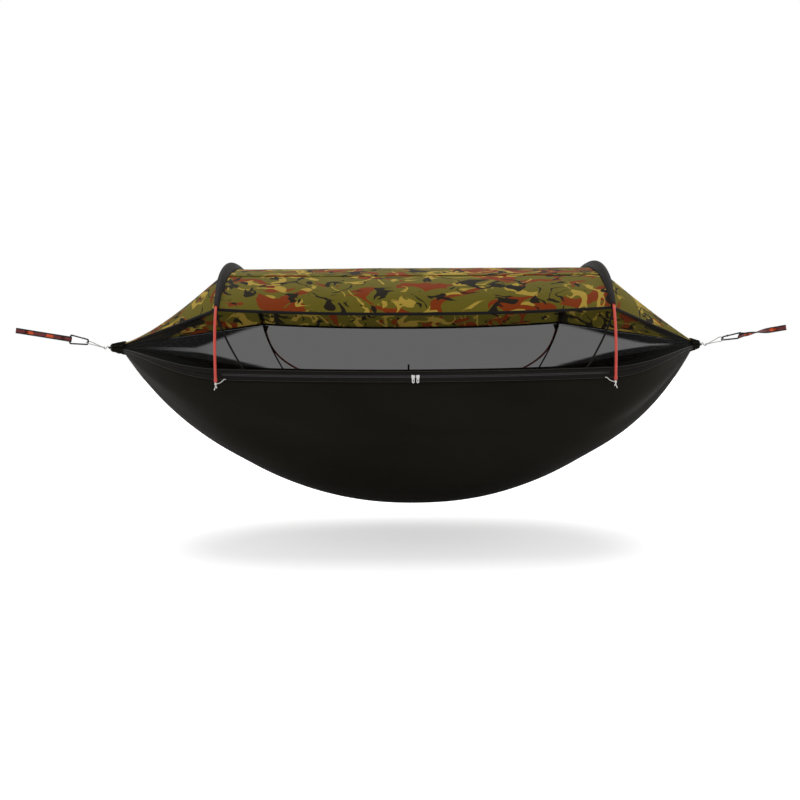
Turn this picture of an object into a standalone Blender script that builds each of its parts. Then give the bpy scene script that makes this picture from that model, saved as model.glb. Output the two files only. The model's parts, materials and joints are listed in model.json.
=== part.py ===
"""Hammock tent: a gathered-end camping hammock with a zipped insect net and a canopy on two arch poles.

The model is laid out from the middle between the two gathered tips: X runs along the hammock,
Y from the camera's near side to the far side, Z up.  The world origin is the bearing point of the
left strap's outer eye, which is what holds the hammock up.
"""
import math

import bmesh
import bpy
from mathutils import Matrix, Vector

# Meshing
WELD_SHARE = 0.01               # of a rod's radius or a cloth's thickness
JOIN_SHARE = 0.98               # of a piece's radius, for a tool that joins it just inside its faces
SHADE_ANGLE = math.radians(40)
ANGLE_STEP = math.radians(0.5)  # for slopes measured along the poles
TUBE_SIDES = 8

# Overall layout, in metres
TIP_SPACING = 2.18
CHANNEL_LENGTH_LEFT = 0.060
CHANNEL_LENGTH_RIGHT = 0.040
ARCH_OFFSET = 0.028             # the arches and the zip sit this far right of the tips' middle
SWING_HEIGHT = 0.021            # the carabiners' narrow bars above the tips

# Cloth and its seams
CLOTH_THICKNESS = 0.0016
NET_THICKNESS = 0.0012
SEAM_GAP = 0.0004               # between neighbouring strips of cloth
FOLD_SEAM_GAP = 0.0010          # between panels that meet at a fold
PIECE_GAP = 0.0004              # between a piece and what it sits on

# Bed edge, which the zip follows
BED_HALF_WIDTH = 0.430
ZIP_HEIGHT = -0.1065
ZIP_HALF_LENGTH = 0.60
ZIP_ARC_SHARE = 15              # the zip's arc radius in half lengths
ZIP_PLANE_TILT = math.radians(28.0)
EDGE_END_HALF_WIDTH = 0.026
EDGE_END_HEIGHT = -0.011
EDGE_END_PINCH_SHARE = -2.16    # slope of the edge at the channel, in half widths per zip half length
EDGE_END_CLIMB_SHARE = 0.10

# Bed
BED_BOTTOM_HEIGHT = -0.576
BED_END_HEIGHT = -0.021
BELLY_POWER_LEFT = 2.17
BELLY_POWER_RIGHT = 2.25
BED_STATIONS = 28
BED_ROWS = 20
STATION_CROWDING = 1.3
FOLD_DEPTH_LEFT = 0.010
FOLD_DEPTH_RIGHT = 0.016
FOLD_COUNT = 5
FOLD_START_SHARE = 0.45         # the folds start here on the way from the middle to a channel
FOLD_SWELL_SHARE = 27 / 4       # w * w * (1 - w) peaks at 4 / 27

# Zip and hems
TAPE_HEIGHT = 0.0117
TAPE_END_SHARE = 0.25           # the tapes narrow to this share at the channels
TOOTH_ROD_RADIUS = 0.0016
TOOTH_SLIT = 0.0014
ZIP_STOP_LENGTH = 0.004
ZIP_STEPS = 16

# Zip sliders and their pulls
SLIDER_LENGTH = 0.0110
SLIDER_HEIGHT = 0.0110
SLIDER_PLATE = 0.0014
SLIDER_SPACING = 0.0140
SLIDER_WEB_LENGTH = 0.0050
SLIDER_TOOTH_GAP = 0.00045
RUNNING_GAP = 0.00035
PULL_PIN_RADIUS = 0.0009
PULL_EYE_WALL = 0.0010
PULL_EYE_LENGTH = 0.0036
PULL_LENGTH = 0.0200
PULL_WIDTH = 0.0080
PULL_THICKNESS = 0.0014
PULL_NECK_SHARE = 0.90          # of the tab's thickness
BAIL_POST = 0.0012

# Arch poles
ARCH_HALF_SPACING = 0.609
ARCH_LEAN = 0.033
ARCH_LEAN_POWER = 1.5
POLE_STANDOFF = 0.023           # of the poles' feet from the zip and the far hem
POLE_FOOT_DROP = 0.0130         # below the zip
POLE_RISE = 0.4125
POLE_SQUARENESS_SHARE = 0.90
BACK_FOOT_DRIFT = 0.135
BACK_FOOT_LIFT = 0.0265
BACK_FOOT_POWER = 3.2
POLE_RADIUS = 0.00425
POLE_WALL = 0.0011
POLE_JOIN_GAP = 0.0012
FERRULE_LENGTH = 0.045
FERRULE_WALL = 0.0008
FERRULE_CLEARANCE = 0.0010
CORE_CORD_RADIUS = 0.0012
POLE_SEGMENTS = 10

# Pole sleeves
SLEEVE_END_HEIGHT = 0.115
SLEEVE_END_DROP = 0.0100        # pole middle to canopy at the sleeve's ends
SLEEVE_TOP_DROP = 0.0180        # and at the top
SLEEVE_END_WIDTH = 0.0150
SLEEVE_TOP_WIDTH = 0.0580
SLEEVE_THICKNESS = 0.0010
SLEEVE_SLACK = 0.0007
SLEEVE_SWELL_POWER = 1.2
SLEEVE_CAP_ANGLES = (155, 125, 90, 55, 25)  # degrees round the pole from inside to outside

# Canopy
CANOPY_EDGE_INSET = 0.040       # of the canopy's middle from the bed's edge below it
CANOPY_MID_EDGE_HEIGHT = 0.091
CANOPY_RIDGE_HEIGHT = 0.277
CANOPY_END_HALF_WIDTH = 0.012
CANOPY_END_EDGE_HEIGHT = 0.011
CANOPY_END_RIDGE_HEIGHT = 0.019
CANOPY_SAG_POWER = 2.2
CANOPY_END_SAG_LEFT = 0.030
CANOPY_END_SAG_RIGHT = 0.008
CANOPY_ROWS = 24
CANOPY_COLUMNS = 12
CANOPY_END_COLUMNS = 6
TRIM_HEIGHT = 0.008

# Nets
NET_SEAM_HALF_LENGTH = 0.531    # where the near seams between the net panels reach the bed
NET_SEAM_BACK_EXTRA = 0.021     # the far seams reach it this much further out
NET_ROWS = 4
NET_SEAM_POWER = 1.35
NET_FIRST_STEP = 0.011          # least width of an end panel's first column

# Tabs
CORNER_TAB_WIDTH = 0.022
CORNER_TAB_HEIGHT = 0.024
CORNER_TAB_POINT = 0.004
HEM_LOOP_WIDTH = 0.008
HEM_LOOP_HEIGHT = 0.055
HEM_LOOP_PLACE = -0.010

# Foot ties
TIE_RADIUS = 0.0013
TIE_KNOT_RADIUS = 0.0042
TIE_TAIL_LENGTH = 0.020
TIE_TAIL_DRIFT_SHARE = 0.25
TIE_REACH = 0.016               # how far along the hem a tie runs to its seam
TIE_SEAT_LENGTH = 0.005

# Gathered channels
CHANNEL_TIP_RADIUS = 0.0110
CHANNEL_MOUTH_HALF_WIDTH = 0.030
CHANNEL_MOUTH_TOP = 0.0235
CHANNEL_MOUTH_BOTTOM = -0.025
CHANNEL_PLEATS = 9
CHANNEL_PLEAT_DEPTH = 0.0022
CHANNEL_TIP_SETBACK = 0.0035
CHANNEL_SWELL_POWER = 1.4
CHANNEL_RINGS = 5

# Steel S-hooks and the end ropes that hold them
HOOK_WIRE_RADIUS = 0.0015
HOOK_INNER_BOW = 0.0055
HOOK_OUTER_BOW = 0.0046
HOOK_BOW_SPACING = 0.0120
HOOK_TIP_DISTANCE = 0.0055      # bow middle beyond the tip
HOOK_INNER_SWEEP = (245, 20)    # degrees
HOOK_OUTER_SWEEP = (200, 425)
ROPE_RADIUS = 0.0024

# Cord loops between S-hook and carabiner
LOOP_CORD_RADIUS = 0.0016
LOOP_BEND_RADIUS = 0.0130
LOOP_ROLL_LEFT = math.radians(15)
LOOP_ROLL_RIGHT = math.radians(35)

# Carabiners
NARROW_BAR_DISTANCE = 1.170     # from the tips' middle
CARABINER_SLOPE = math.radians(9.5)
CARABINER_ROLL_RIGHT = math.radians(50.0)
CARABINER_LENGTH = 0.066        # between the middles of the end bars
NARROW_BAR_HALF = 0.0090
WIDE_BAR_HALF = 0.0160
CARABINER_BAR_RADIUS = 0.0029
CARABINER_CORNER = 0.0045
GATE_HINGE_PLACE = 0.0150
GATE_NOSE_PLACE = 0.0510
GATE_RADIUS = 0.0027
GATE_TONGUE = 0.0022
GATE_SLOT_DEPTH = 0.0036
GATE_PIN_RADIUS = 0.0010

# Straps
STRAP_WIDTH = 0.020
STRAP_THICKNESS = 0.0018
STRAP_LENGTH_LEFT = 0.201
STRAP_LENGTH_RIGHT = 0.171
STRAP_EYE_RADIUS = 0.0070
STRAP_EYE_RUN = 0.024
STRAP_INNER_EYE_RUN = 0.0192
STRAP_WRAP_SWEEP = (180, 100)   # degrees round the carabiner's wide bar
STRAP_WRAP_GAP = 0.0006
STRAP_TWIST_RIGHT = math.radians(130.0)
STRAP_RUN_STEPS = 14

LEFT, RIGHT = -1, 1
FRONT, BACK = -1, 1
NAMES = {LEFT: "left", RIGHT: "right"}
DEPTH_NAMES = {FRONT: "front", BACK: "back"}

HALF_TIPS = TIP_SPACING / 2
ZIP_ARC_RADIUS = ZIP_ARC_SHARE * ZIP_HALF_LENGTH
POLE_HALF_SPAN = BED_HALF_WIDTH + POLE_STANDOFF
POLE_FOOT_HEIGHT = ZIP_HEIGHT - POLE_FOOT_DROP
CANOPY_HALF_WIDTH = BED_HALF_WIDTH - CANOPY_EDGE_INSET
X_AXIS, Y_AXIS, Z_AXIS = Vector((1, 0, 0)), Vector((0, 1, 0)), Vector((0, 0, 1))


# Scene helpers

def clear_scene():
    for old in list(bpy.data.objects):
        bpy.data.objects.remove(old, do_unlink=True)


def new_collection(name):
    group = bpy.data.collections.new(name)
    bpy.context.scene.collection.children.link(group)
    return group


def make_material(name, colour, roughness, metallic=0.0):
    material = bpy.data.materials.new(name)
    material.use_nodes = True
    shader = material.node_tree.nodes["Principled BSDF"]
    shader.inputs["Base Color"].default_value = (*colour, 1.0)
    shader.inputs["Roughness"].default_value = roughness
    shader.inputs["Metallic"].default_value = metallic
    material.diffuse_color = (*colour, 1.0)
    return material


clear_scene()
PARTS = new_collection("hammock_tent")
CUTTERS = new_collection("hammock_tent_cutters")

MATERIALS = {
    "bed_nylon": make_material("bed_nylon", (0.012, 0.010, 0.008), 0.75),
    "camouflage": make_material("camouflage", (0.19, 0.15, 0.05), 0.70),
    "net_mesh": make_material("net_mesh", (0.13, 0.13, 0.12), 0.85),
    "black_webbing": make_material("black_webbing", (0.015, 0.014, 0.013), 0.80),
    "strap_webbing": make_material("strap_webbing", (0.20, 0.05, 0.04), 0.80),
    "pole_red": make_material("pole_red", (0.45, 0.06, 0.04), 0.35),
    "alloy": make_material("alloy", (0.60, 0.60, 0.60), 0.30, 1.0),
    "gunmetal": make_material("gunmetal", (0.08, 0.09, 0.09), 0.35, 1.0),
    "steel": make_material("steel", (0.45, 0.45, 0.44), 0.30, 1.0),
    "silver_cord": make_material("silver_cord", (0.55, 0.55, 0.54), 0.60),
    "white_elastic": make_material("white_elastic", (0.80, 0.80, 0.78), 0.70),
    "zip_plastic": make_material("zip_plastic", (0.05, 0.05, 0.05), 0.50),
    "slider_white": make_material("slider_white", (0.70, 0.70, 0.68), 0.40),
}


def finish(piece, material, origin=None, transform=None, parent=None):
    """Give a piece its material and parent, with its own origin at a point of the layout."""
    piece.data.materials.clear()
    piece.data.materials.append(MATERIALS[material])
    if transform is not None:
        piece.matrix_basis = transform
    elif origin is not None:
        piece.data.transform(Matrix.Translation(-origin))
        piece.location = origin
    piece.parent = parent or LAYOUT
    return piece


def link_mesh(name, mesh, group=None):
    piece = bpy.data.objects.new(name, mesh)
    (group or PARTS).objects.link(piece)
    return piece


def shade(piece):
    piece.data.shade_smooth()
    piece.data.set_sharp_from_angle(angle=SHADE_ANGLE)


def solidify(piece, thickness, offset=0.0):
    wall = piece.modifiers.new("wall", "SOLIDIFY")
    wall.thickness = thickness
    wall.offset = offset
    wall.use_even_offset = False


def cloth(name, points, thickness, material):
    """A thin sheet through a grid of points, rows of equal length."""
    rows, columns = len(points), len(points[0])
    build = bmesh.new()
    bmesh.ops.create_grid(build, x_segments=columns - 1, y_segments=rows - 1, size=1)
    build.verts.ensure_lookup_table()
    for index, vertex in enumerate(build.verts):
        vertex.co = points[index // columns][index % columns]
    mesh = bpy.data.meshes.new(name)
    build.to_mesh(mesh)
    build.free()
    piece = link_mesh(name, mesh)
    solidify(piece, thickness)
    shade(piece)
    return finish(piece, material, SWING_POINT)


def rod_mesh(name, points, radius, closed=False, sides_step=2, open_ended=False):
    """A round rod along a list of points, as a welded mesh."""
    curve = bpy.data.curves.new(name, "CURVE")
    curve.dimensions = "3D"
    curve.bevel_depth = radius
    curve.bevel_resolution = sides_step
    curve.use_fill_caps = not (closed or open_ended)
    spline = curve.splines.new("POLY")
    spline.points.add(len(points) - 1)
    for target, point in zip(spline.points, points):
        target.co = (*point, 1.0)
    spline.use_cyclic_u = closed
    guide = bpy.data.objects.new(name + "_guide", curve)
    PARTS.objects.link(guide)
    bpy.context.view_layer.update()
    evaluated = guide.evaluated_get(bpy.context.evaluated_depsgraph_get())
    mesh = bpy.data.meshes.new_from_object(evaluated)
    bpy.data.objects.remove(guide, do_unlink=True)
    bpy.data.curves.remove(curve)
    build = bmesh.new()
    build.from_mesh(mesh)
    bmesh.ops.remove_doubles(build, verts=build.verts, dist=radius * WELD_SHARE)
    if open_ended:
        bmesh.ops.recalc_face_normals(build, faces=build.faces)
    else:
        face_outward(build)
    build.to_mesh(mesh)
    build.free()
    mesh.name = name
    return mesh


def face_outward(build):
    """Turn a closed mesh's faces outward."""
    bmesh.ops.recalc_face_normals(build, faces=build.faces)
    if build.calc_volume(signed=True) < 0:
        bmesh.ops.reverse_faces(build, faces=build.faces)


def rod(name, points, radius, material, closed=False, sides_step=2):
    piece = link_mesh(name, rod_mesh(name, points, radius, closed, sides_step))
    shade(piece)
    return finish(piece, material, SWING_POINT)


def tube(name, points, radius, wall, material):
    """A hollow rod with open ends."""
    piece = link_mesh(name, rod_mesh(name, points, radius, open_ended=True))
    solidify(piece, wall, offset=-1.0)
    shade(piece)
    return finish(piece, material, SWING_POINT)


def box_mesh(name, low, high):
    build = bmesh.new()
    middle = (Vector(low) + Vector(high)) / 2
    size = Vector(high) - Vector(low)
    bmesh.ops.create_cube(build, size=1, matrix=Matrix.Translation(middle) @ Matrix.Diagonal((*size, 1)))
    mesh = bpy.data.meshes.new(name)
    build.to_mesh(mesh)
    build.free()
    return mesh


def cylinder_mesh(name, middle, axis, radius, length, sides=16):
    build = bmesh.new()
    turn = Z_AXIS.rotation_difference(axis).to_matrix().to_4x4()
    bmesh.ops.create_cone(build, cap_ends=True, segments=sides, radius1=radius, radius2=radius, depth=length,
                          matrix=Matrix.Translation(middle) @ turn)
    mesh = bpy.data.meshes.new(name)
    build.to_mesh(mesh)
    build.free()
    return mesh


def ball_mesh(name, middle, radius):
    build = bmesh.new()
    bmesh.ops.create_icosphere(build, subdivisions=2, radius=radius, matrix=Matrix.Translation(middle))
    mesh = bpy.data.meshes.new(name)
    build.to_mesh(mesh)
    build.free()
    return mesh


def combine(piece, mesh, operation):
    """Join a mesh to a piece or cut it away, as a Boolean with its tool in the cutters' collection."""
    tool = link_mesh(mesh.name + "_tool", mesh, CUTTERS)
    tool.hide_render = True
    tool.display_type = "WIRE"
    change = piece.modifiers.new(operation.lower(), "BOOLEAN")
    change.operation = operation
    change.solver = "EXACT"
    change.object = tool
    return tool


def apply_changes(piece):
    """Bake a piece's Booleans into its mesh and drop their tools."""
    bpy.context.view_layer.update()
    evaluated = piece.evaluated_get(bpy.context.evaluated_depsgraph_get())
    mesh = bpy.data.meshes.new_from_object(evaluated)
    tools = [change.object for change in piece.modifiers if change.type == "BOOLEAN"]
    piece.modifiers.clear()
    piece.data = mesh
    for tool in tools:
        bpy.data.objects.remove(tool, do_unlink=True)


# Shape rules

def mix(first, second, share):
    return first + (second - first) * share


def ease(start, start_slope, end, end_slope, share):
    """A cubic from start to end; the slopes are in units of the whole run."""
    square, cube = share ** 2, share ** 3
    return (start * (2 * cube - 3 * square + 1) + start_slope * (cube - 2 * square + share)
            + end * (3 * square - 2 * cube) + end_slope * (cube - square))


def channel_length(side):
    return CHANNEL_LENGTH_LEFT if side == LEFT else CHANNEL_LENGTH_RIGHT


def end_place(side):
    """X where the cloth meets the gathered channel."""
    return side * (HALF_TIPS - channel_length(side))


def end_run(side):
    """Length from the arches' middle plane to the channel."""
    return abs(end_place(side) - ARCH_OFFSET)


def zip_drop(distance):
    return ZIP_ARC_RADIUS - math.sqrt(ZIP_ARC_RADIUS ** 2 - distance ** 2)


def bed_edge(x):
    """Half width and height of the zip line at x: an arc, then a cubic in to the channel."""
    side = LEFT if x < ARCH_OFFSET else RIGHT
    distance = abs(x - ARCH_OFFSET)
    drop = zip_drop(min(distance, ZIP_HALF_LENGTH))
    width = BED_HALF_WIDTH - drop * math.cos(ZIP_PLANE_TILT)
    height = ZIP_HEIGHT + drop * math.sin(ZIP_PLANE_TILT)
    if distance <= ZIP_HALF_LENGTH:
        return width, height
    run = end_run(side) - ZIP_HALF_LENGTH
    share = (distance - ZIP_HALF_LENGTH) / run
    slope = ZIP_HALF_LENGTH / ZIP_ARC_RADIUS * run
    pinch = EDGE_END_PINCH_SHARE * BED_HALF_WIDTH * run / ZIP_HALF_LENGTH
    climb = EDGE_END_CLIMB_SHARE * run
    return (ease(width, -slope * math.cos(ZIP_PLANE_TILT), EDGE_END_HALF_WIDTH, pinch, share),
            ease(height, slope * math.sin(ZIP_PLANE_TILT), EDGE_END_HEIGHT, climb, share))


def narrowing(x):
    """Share of their full height that tapes and trims keep at x."""
    side = LEFT if x < ARCH_OFFSET else RIGHT
    share = (abs(x - ARCH_OFFSET) - ZIP_HALF_LENGTH) / (end_run(side) - ZIP_HALF_LENGTH)
    share = max(0.0, min(1.0, share))
    return mix(1.0, TAPE_END_SHARE, share ** 2 * (3 - 2 * share))


def belly_height(x):
    side = LEFT if x < ARCH_OFFSET else RIGHT
    power = BELLY_POWER_LEFT if side == LEFT else BELLY_POWER_RIGHT
    share = min(1.0, abs(x - ARCH_OFFSET) / end_run(side))
    return mix(BED_BOTTOM_HEIGHT, BED_END_HEIGHT, share ** power)


def edge_stations():
    """Places along the hammock where the bed, tapes and hems have their points."""
    places = []
    half = BED_STATIONS // 2
    for side, order in ((LEFT, range(half, 0, -1)), (RIGHT, range(0, half + 1))):
        for step in order:
            share = 1 - (1 - step / half) ** STATION_CROWDING
            places.append(ARCH_OFFSET + side * end_run(side) * share)
    return places


TOOTH_OFFSET = TOOTH_SLIT / 2 + TOOTH_ROD_RADIUS
TAPE_INNER = TOOTH_OFFSET + TOOTH_ROD_RADIUS + SEAM_GAP
TAPE_OUTER = TAPE_INNER + TAPE_HEIGHT


def wall_point(x, depth, rise):
    """A point of the upright band along the bed's edge, at a height above the zip line."""
    width, height = bed_edge(x)
    return Vector((x, depth * width, height + rise * narrowing(x)))


def pole_point(angle, side):
    """Middle of an arch pole: angle 0 is the front foot and pi the back foot."""
    rise = max(0.0, math.sin(angle))
    reach = abs(math.cos(angle)) ** POLE_SQUARENESS_SHARE * POLE_HALF_SPAN
    slack = max(0.0, (angle - (math.pi - SLEEVE_ANGLE)) / SLEEVE_ANGLE)
    out = ARCH_HALF_SPACING + ARCH_LEAN * rise ** ARCH_LEAN_POWER - BACK_FOOT_DRIFT * slack ** BACK_FOOT_POWER
    height = POLE_FOOT_HEIGHT + POLE_RISE * rise + BACK_FOOT_LIFT * slack ** 2
    return Vector((ARCH_OFFSET + side * out, -math.copysign(reach, math.cos(angle)), height))


SLEEVE_ANGLE = math.asin((SLEEVE_END_HEIGHT - POLE_FOOT_HEIGHT) / POLE_RISE)


def pole_normal(angle):
    """Outward direction of the arch in its own plane across the hammock."""
    before, after = max(0.0, angle - ANGLE_STEP), min(math.pi, angle + ANGLE_STEP)
    along = pole_point(after, RIGHT) - pole_point(before, RIGHT)
    return Vector((0, -along.z, along.y)).normalized()


def pole_turn(length, angle):
    """Angle that a short length of pole spans about an angle."""
    span = pole_point(angle + ANGLE_STEP, RIGHT) - pole_point(angle - ANGLE_STEP, RIGHT)
    return length * 2 * ANGLE_STEP / span.length


def even_angles(first, last, count):
    """Angles that cut the pole between first and last into equal lengths."""
    fine = 240
    angles = [mix(first, last, step / fine) for step in range(fine + 1)]
    lengths = [0.0]
    for before, after in zip(angles, angles[1:]):
        lengths.append(lengths[-1] + (pole_point(after, RIGHT) - pole_point(before, RIGHT)).length)
    result = []
    place = 0
    for step in range(count + 1):
        wanted = lengths[-1] * step / count
        while place < fine - 1 and lengths[place + 1] < wanted:
            place += 1
        part = (wanted - lengths[place]) / (lengths[place + 1] - lengths[place])
        result.append(mix(angles[place], angles[place + 1], part))
    return result


SLEEVE_ANGLES = even_angles(SLEEVE_ANGLE, math.pi - SLEEVE_ANGLE, CANOPY_ROWS)


def canopy_arch(row, side):
    """Where the canopy's cloth passes under the pole."""
    angle = SLEEVE_ANGLES[row]
    share = math.sin(math.pi * row / CANOPY_ROWS)
    return pole_point(angle, side) - pole_normal(angle) * mix(SLEEVE_END_DROP, SLEEVE_TOP_DROP, share)


def canopy_middle(row):
    angle = math.pi * row / CANOPY_ROWS
    return Vector((ARCH_OFFSET, -CANOPY_HALF_WIDTH * math.cos(angle),
                   mix(CANOPY_MID_EDGE_HEIGHT, CANOPY_RIDGE_HEIGHT, math.sin(angle))))


def canopy_span(share, row):
    """The centre panel: share runs from -1 at the left arch to 1 at the right one."""
    side = LEFT if share < 0 else RIGHT
    arch, middle = canopy_arch(row, side), canopy_middle(row)
    blend = abs(share) ** CANOPY_SAG_POWER
    point = mix(middle, arch, blend)
    point.x = mix(middle.x, arch.x, abs(share))
    return point


def canopy_end(share, row, side):
    """An end panel: share runs from 0 at the arch to 1 at the gathered channel."""
    angle = math.pi * row / CANOPY_ROWS
    arch = canopy_arch(row, side)
    tip = Vector((end_place(side), -CANOPY_END_HALF_WIDTH * math.cos(angle),
                  mix(CANOPY_END_EDGE_HEIGHT, CANOPY_END_RIDGE_HEIGHT, math.sin(angle))))
    point = mix(arch, tip, share)
    sag = CANOPY_END_SAG_LEFT if side == LEFT else CANOPY_END_SAG_RIGHT
    point.z -= sag * 4 * share * (1 - share) * math.sin(angle)
    return point


def beside_arch(distance, row, side, outward):
    """A point of a canopy panel's drawn surface, at a distance from the arch on one of its sides."""
    arch = canopy_arch(row, side)
    if outward:
        next_point = canopy_end(1 / CANOPY_END_COLUMNS, row, side)
    else:
        next_point = canopy_span(side * (1 - 2 / CANOPY_COLUMNS), row)
    return mix(arch, next_point, distance / abs(next_point.x - arch.x))


def edge_row(depth):
    return 0 if depth == FRONT else CANOPY_ROWS


def span_share(inset, row, side):
    """Share of the centre panel that stops an inset short of the arch."""
    return side * (1 - inset / abs(canopy_arch(row, side).x - ARCH_OFFSET))


def end_share(inset, row, side):
    return inset / abs(end_place(side) - canopy_arch(row, side).x)


def canopy_edge_points(depth):
    """The canopy's lower edge from the left channel to the right one."""
    row = edge_row(depth)
    points = [canopy_end(1 - step / CANOPY_END_COLUMNS, row, LEFT) for step in range(CANOPY_END_COLUMNS)]
    points += [canopy_span(mix(-1, 1, step / CANOPY_COLUMNS), row) for step in range(CANOPY_COLUMNS + 1)]
    points += [canopy_end((step + 1) / CANOPY_END_COLUMNS, row, RIGHT) for step in range(CANOPY_END_COLUMNS)]
    return points


def toward_bed(point, depth):
    """Direction down the net from a point of the canopy's edge."""
    return (wall_point(point.x, depth, TAPE_OUTER) - point).normalized()


def trim_low(point, depth):
    return point + toward_bed(point, depth) * (SEAM_GAP + TRIM_HEIGHT * narrowing(point.x))


def edge_point_at(x, depth):
    """The canopy's lower edge at x, between its drawn points."""
    points = CANOPY_EDGES[depth]
    for before, after in zip(points, points[1:]):
        if x <= after.x:
            return mix(before, after, (x - before.x) / (after.x - before.x))
    return points[-1]


def seam_foot(side, depth):
    extra = NET_SEAM_BACK_EXTRA if depth == BACK else 0.0
    return ARCH_OFFSET + side * (NET_SEAM_HALF_LENGTH + extra)


def seam_place(side, share, depth):
    """X of a seam between two net panels; share runs up from the bed to the canopy."""
    top = canopy_arch(0, side).x
    bottom = seam_foot(side, depth)
    return mix(bottom, top, 1 - (1 - share) ** NET_SEAM_POWER)


def net_point(bottom_x, top_x, share, depth):
    """A net point on the straight line between the tape and the canopy's trim."""
    low = wall_point(bottom_x, depth, TAPE_OUTER)
    edge = edge_point_at(top_x, depth)
    high = trim_low(edge, depth) + toward_bed(edge, depth) * SEAM_GAP
    low = low + (high - low).normalized() * FOLD_SEAM_GAP
    return mix(low, high, share)


# Bed, hems and zip

def make_bed():
    stations = edge_stations()
    points = []
    for row in range(BED_ROWS + 1):
        angle = mix(-math.pi / 2, math.pi / 2, row / BED_ROWS)
        line = []
        for x in stations:
            width, _ = bed_edge(x)
            top = wall_point(x, BACK, -TAPE_OUTER - SEAM_GAP / narrowing(x)).z
            side = LEFT if x < ARCH_OFFSET else RIGHT
            depth = FOLD_DEPTH_LEFT if side == LEFT else FOLD_DEPTH_RIGHT
            share = abs(x - ARCH_OFFSET) / end_run(side)
            window = max(0.0, (share - FOLD_START_SHARE) / (1 - FOLD_START_SHARE))
            swell = FOLD_SWELL_SHARE * window ** 2 * (1 - window) * depth * math.cos(angle)
            ripple = swell * math.cos(2 * FOLD_COUNT * angle)
            line.append(Vector((x, (width + ripple) * math.sin(angle),
                                top - (top - belly_height(x) + ripple) * math.cos(angle))))
        points.append(line)
    cloth("hammock_bed", points, CLOTH_THICKNESS, "bed_nylon")


def make_band(name, depth, low, high, material):
    points = [[wall_point(x, depth, rise) for x in edge_stations()] for rise in (low, high)]
    cloth(name, points, CLOTH_THICKNESS, material)


def zip_arc_point(distance, rise):
    """A point of the zip's arc, beside its middle line."""
    drop = zip_drop(distance)
    return Vector((ARCH_OFFSET + distance, -BED_HALF_WIDTH + drop * math.cos(ZIP_PLANE_TILT),
                   ZIP_HEIGHT + drop * math.sin(ZIP_PLANE_TILT) + rise))


def make_zip():
    make_band("zip_tape_lower", FRONT, -TAPE_OUTER, -TAPE_INNER, "black_webbing")
    make_band("zip_tape_upper", FRONT, TAPE_INNER, TAPE_OUTER, "black_webbing")
    make_band("bed_hem_back", BACK, -TAPE_OUTER, TAPE_OUTER, "black_webbing")
    reach = ZIP_HALF_LENGTH - ZIP_STOP_LENGTH - PIECE_GAP
    for name, rise in (("zip_teeth_lower", -TOOTH_OFFSET), ("zip_teeth_upper", TOOTH_OFFSET)):
        points = [zip_arc_point(mix(-reach, reach, step / ZIP_STEPS), rise) for step in range(ZIP_STEPS + 1)]
        rod(name, points, TOOTH_ROD_RADIUS, "zip_plastic")
    for side in (LEFT, RIGHT):
        inner, outer = side * (reach + PIECE_GAP), side * (reach + PIECE_GAP + ZIP_STOP_LENGTH)
        mid = zip_arc_point((inner + outer) / 2, 0)
        half = Vector((ZIP_STOP_LENGTH, CLOTH_THICKNESS, 2 * TOOTH_OFFSET)) / 2
        piece = link_mesh(f"zip_stop_{NAMES[side]}", box_mesh("zip_stop", mid - half, mid + half))
        finish(piece, "zip_plastic", SWING_POINT)


# Sliders and pulls

def slider_frame(side):
    """Placement of a slider about the zip's arc centre: X along the zip, Y away from the camera, Z up."""
    turn = math.asin(side * SLIDER_SPACING / 2 / ZIP_ARC_RADIUS)
    return (Matrix.Rotation(turn, 4, "Z") @ Matrix.Translation((0, -ZIP_ARC_RADIUS, 0))
            @ Matrix.Rotation(-ZIP_PLANE_TILT, 4, "X"))


SLIDER_FACE = TOOTH_ROD_RADIUS + SLIDER_TOOTH_GAP
SLIDER_OUT = SLIDER_FACE + SLIDER_PLATE
PULL_EYE_BORE = PULL_PIN_RADIUS + RUNNING_GAP
PULL_EYE_RADIUS = PULL_EYE_BORE + PULL_EYE_WALL
PULL_PIN_OUT = SLIDER_OUT + PULL_EYE_RADIUS + RUNNING_GAP


def make_slider(side):
    name = f"zip_slider_{NAMES[side]}"
    half_x, half_z = SLIDER_LENGTH / 2, SLIDER_HEIGHT / 2
    piece = link_mesh(name, box_mesh(name, (-half_x, -SLIDER_OUT, -half_z), (half_x, -SLIDER_FACE, half_z)))
    back = box_mesh("back", (-half_x, SLIDER_FACE, -half_z), (half_x, SLIDER_OUT, half_z))
    web_z = TOOTH_SLIT / 2 - RUNNING_GAP
    web = box_mesh("web", (-SLIDER_WEB_LENGTH / 2, -SLIDER_FACE - SLIDER_PLATE / 2, -web_z),
                   (SLIDER_WEB_LENGTH / 2, SLIDER_FACE + SLIDER_PLATE / 2, web_z))
    tools = [back, web]
    post_in = PULL_EYE_LENGTH / 2 + RUNNING_GAP
    for post_side in (LEFT, RIGHT):
        near, far = sorted((post_side * post_in, post_side * (post_in + BAIL_POST)))
        tools.append(box_mesh("post", (near, -PULL_PIN_OUT - PULL_PIN_RADIUS, -PULL_PIN_RADIUS),
                              (far, -SLIDER_OUT + SLIDER_PLATE / 2, PULL_PIN_RADIUS)))
    tools.append(cylinder_mesh("pin", Vector((0, -PULL_PIN_OUT, 0)), X_AXIS, PULL_PIN_RADIUS * JOIN_SHARE,
                               2 * post_in + BAIL_POST, sides=10))
    for mesh in tools:
        combine(piece, mesh, "UNION")
    apply_changes(piece)
    return finish(piece, "slider_white", transform=slider_frame(side), parent=ZIP_ARC_CENTRE)


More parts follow.
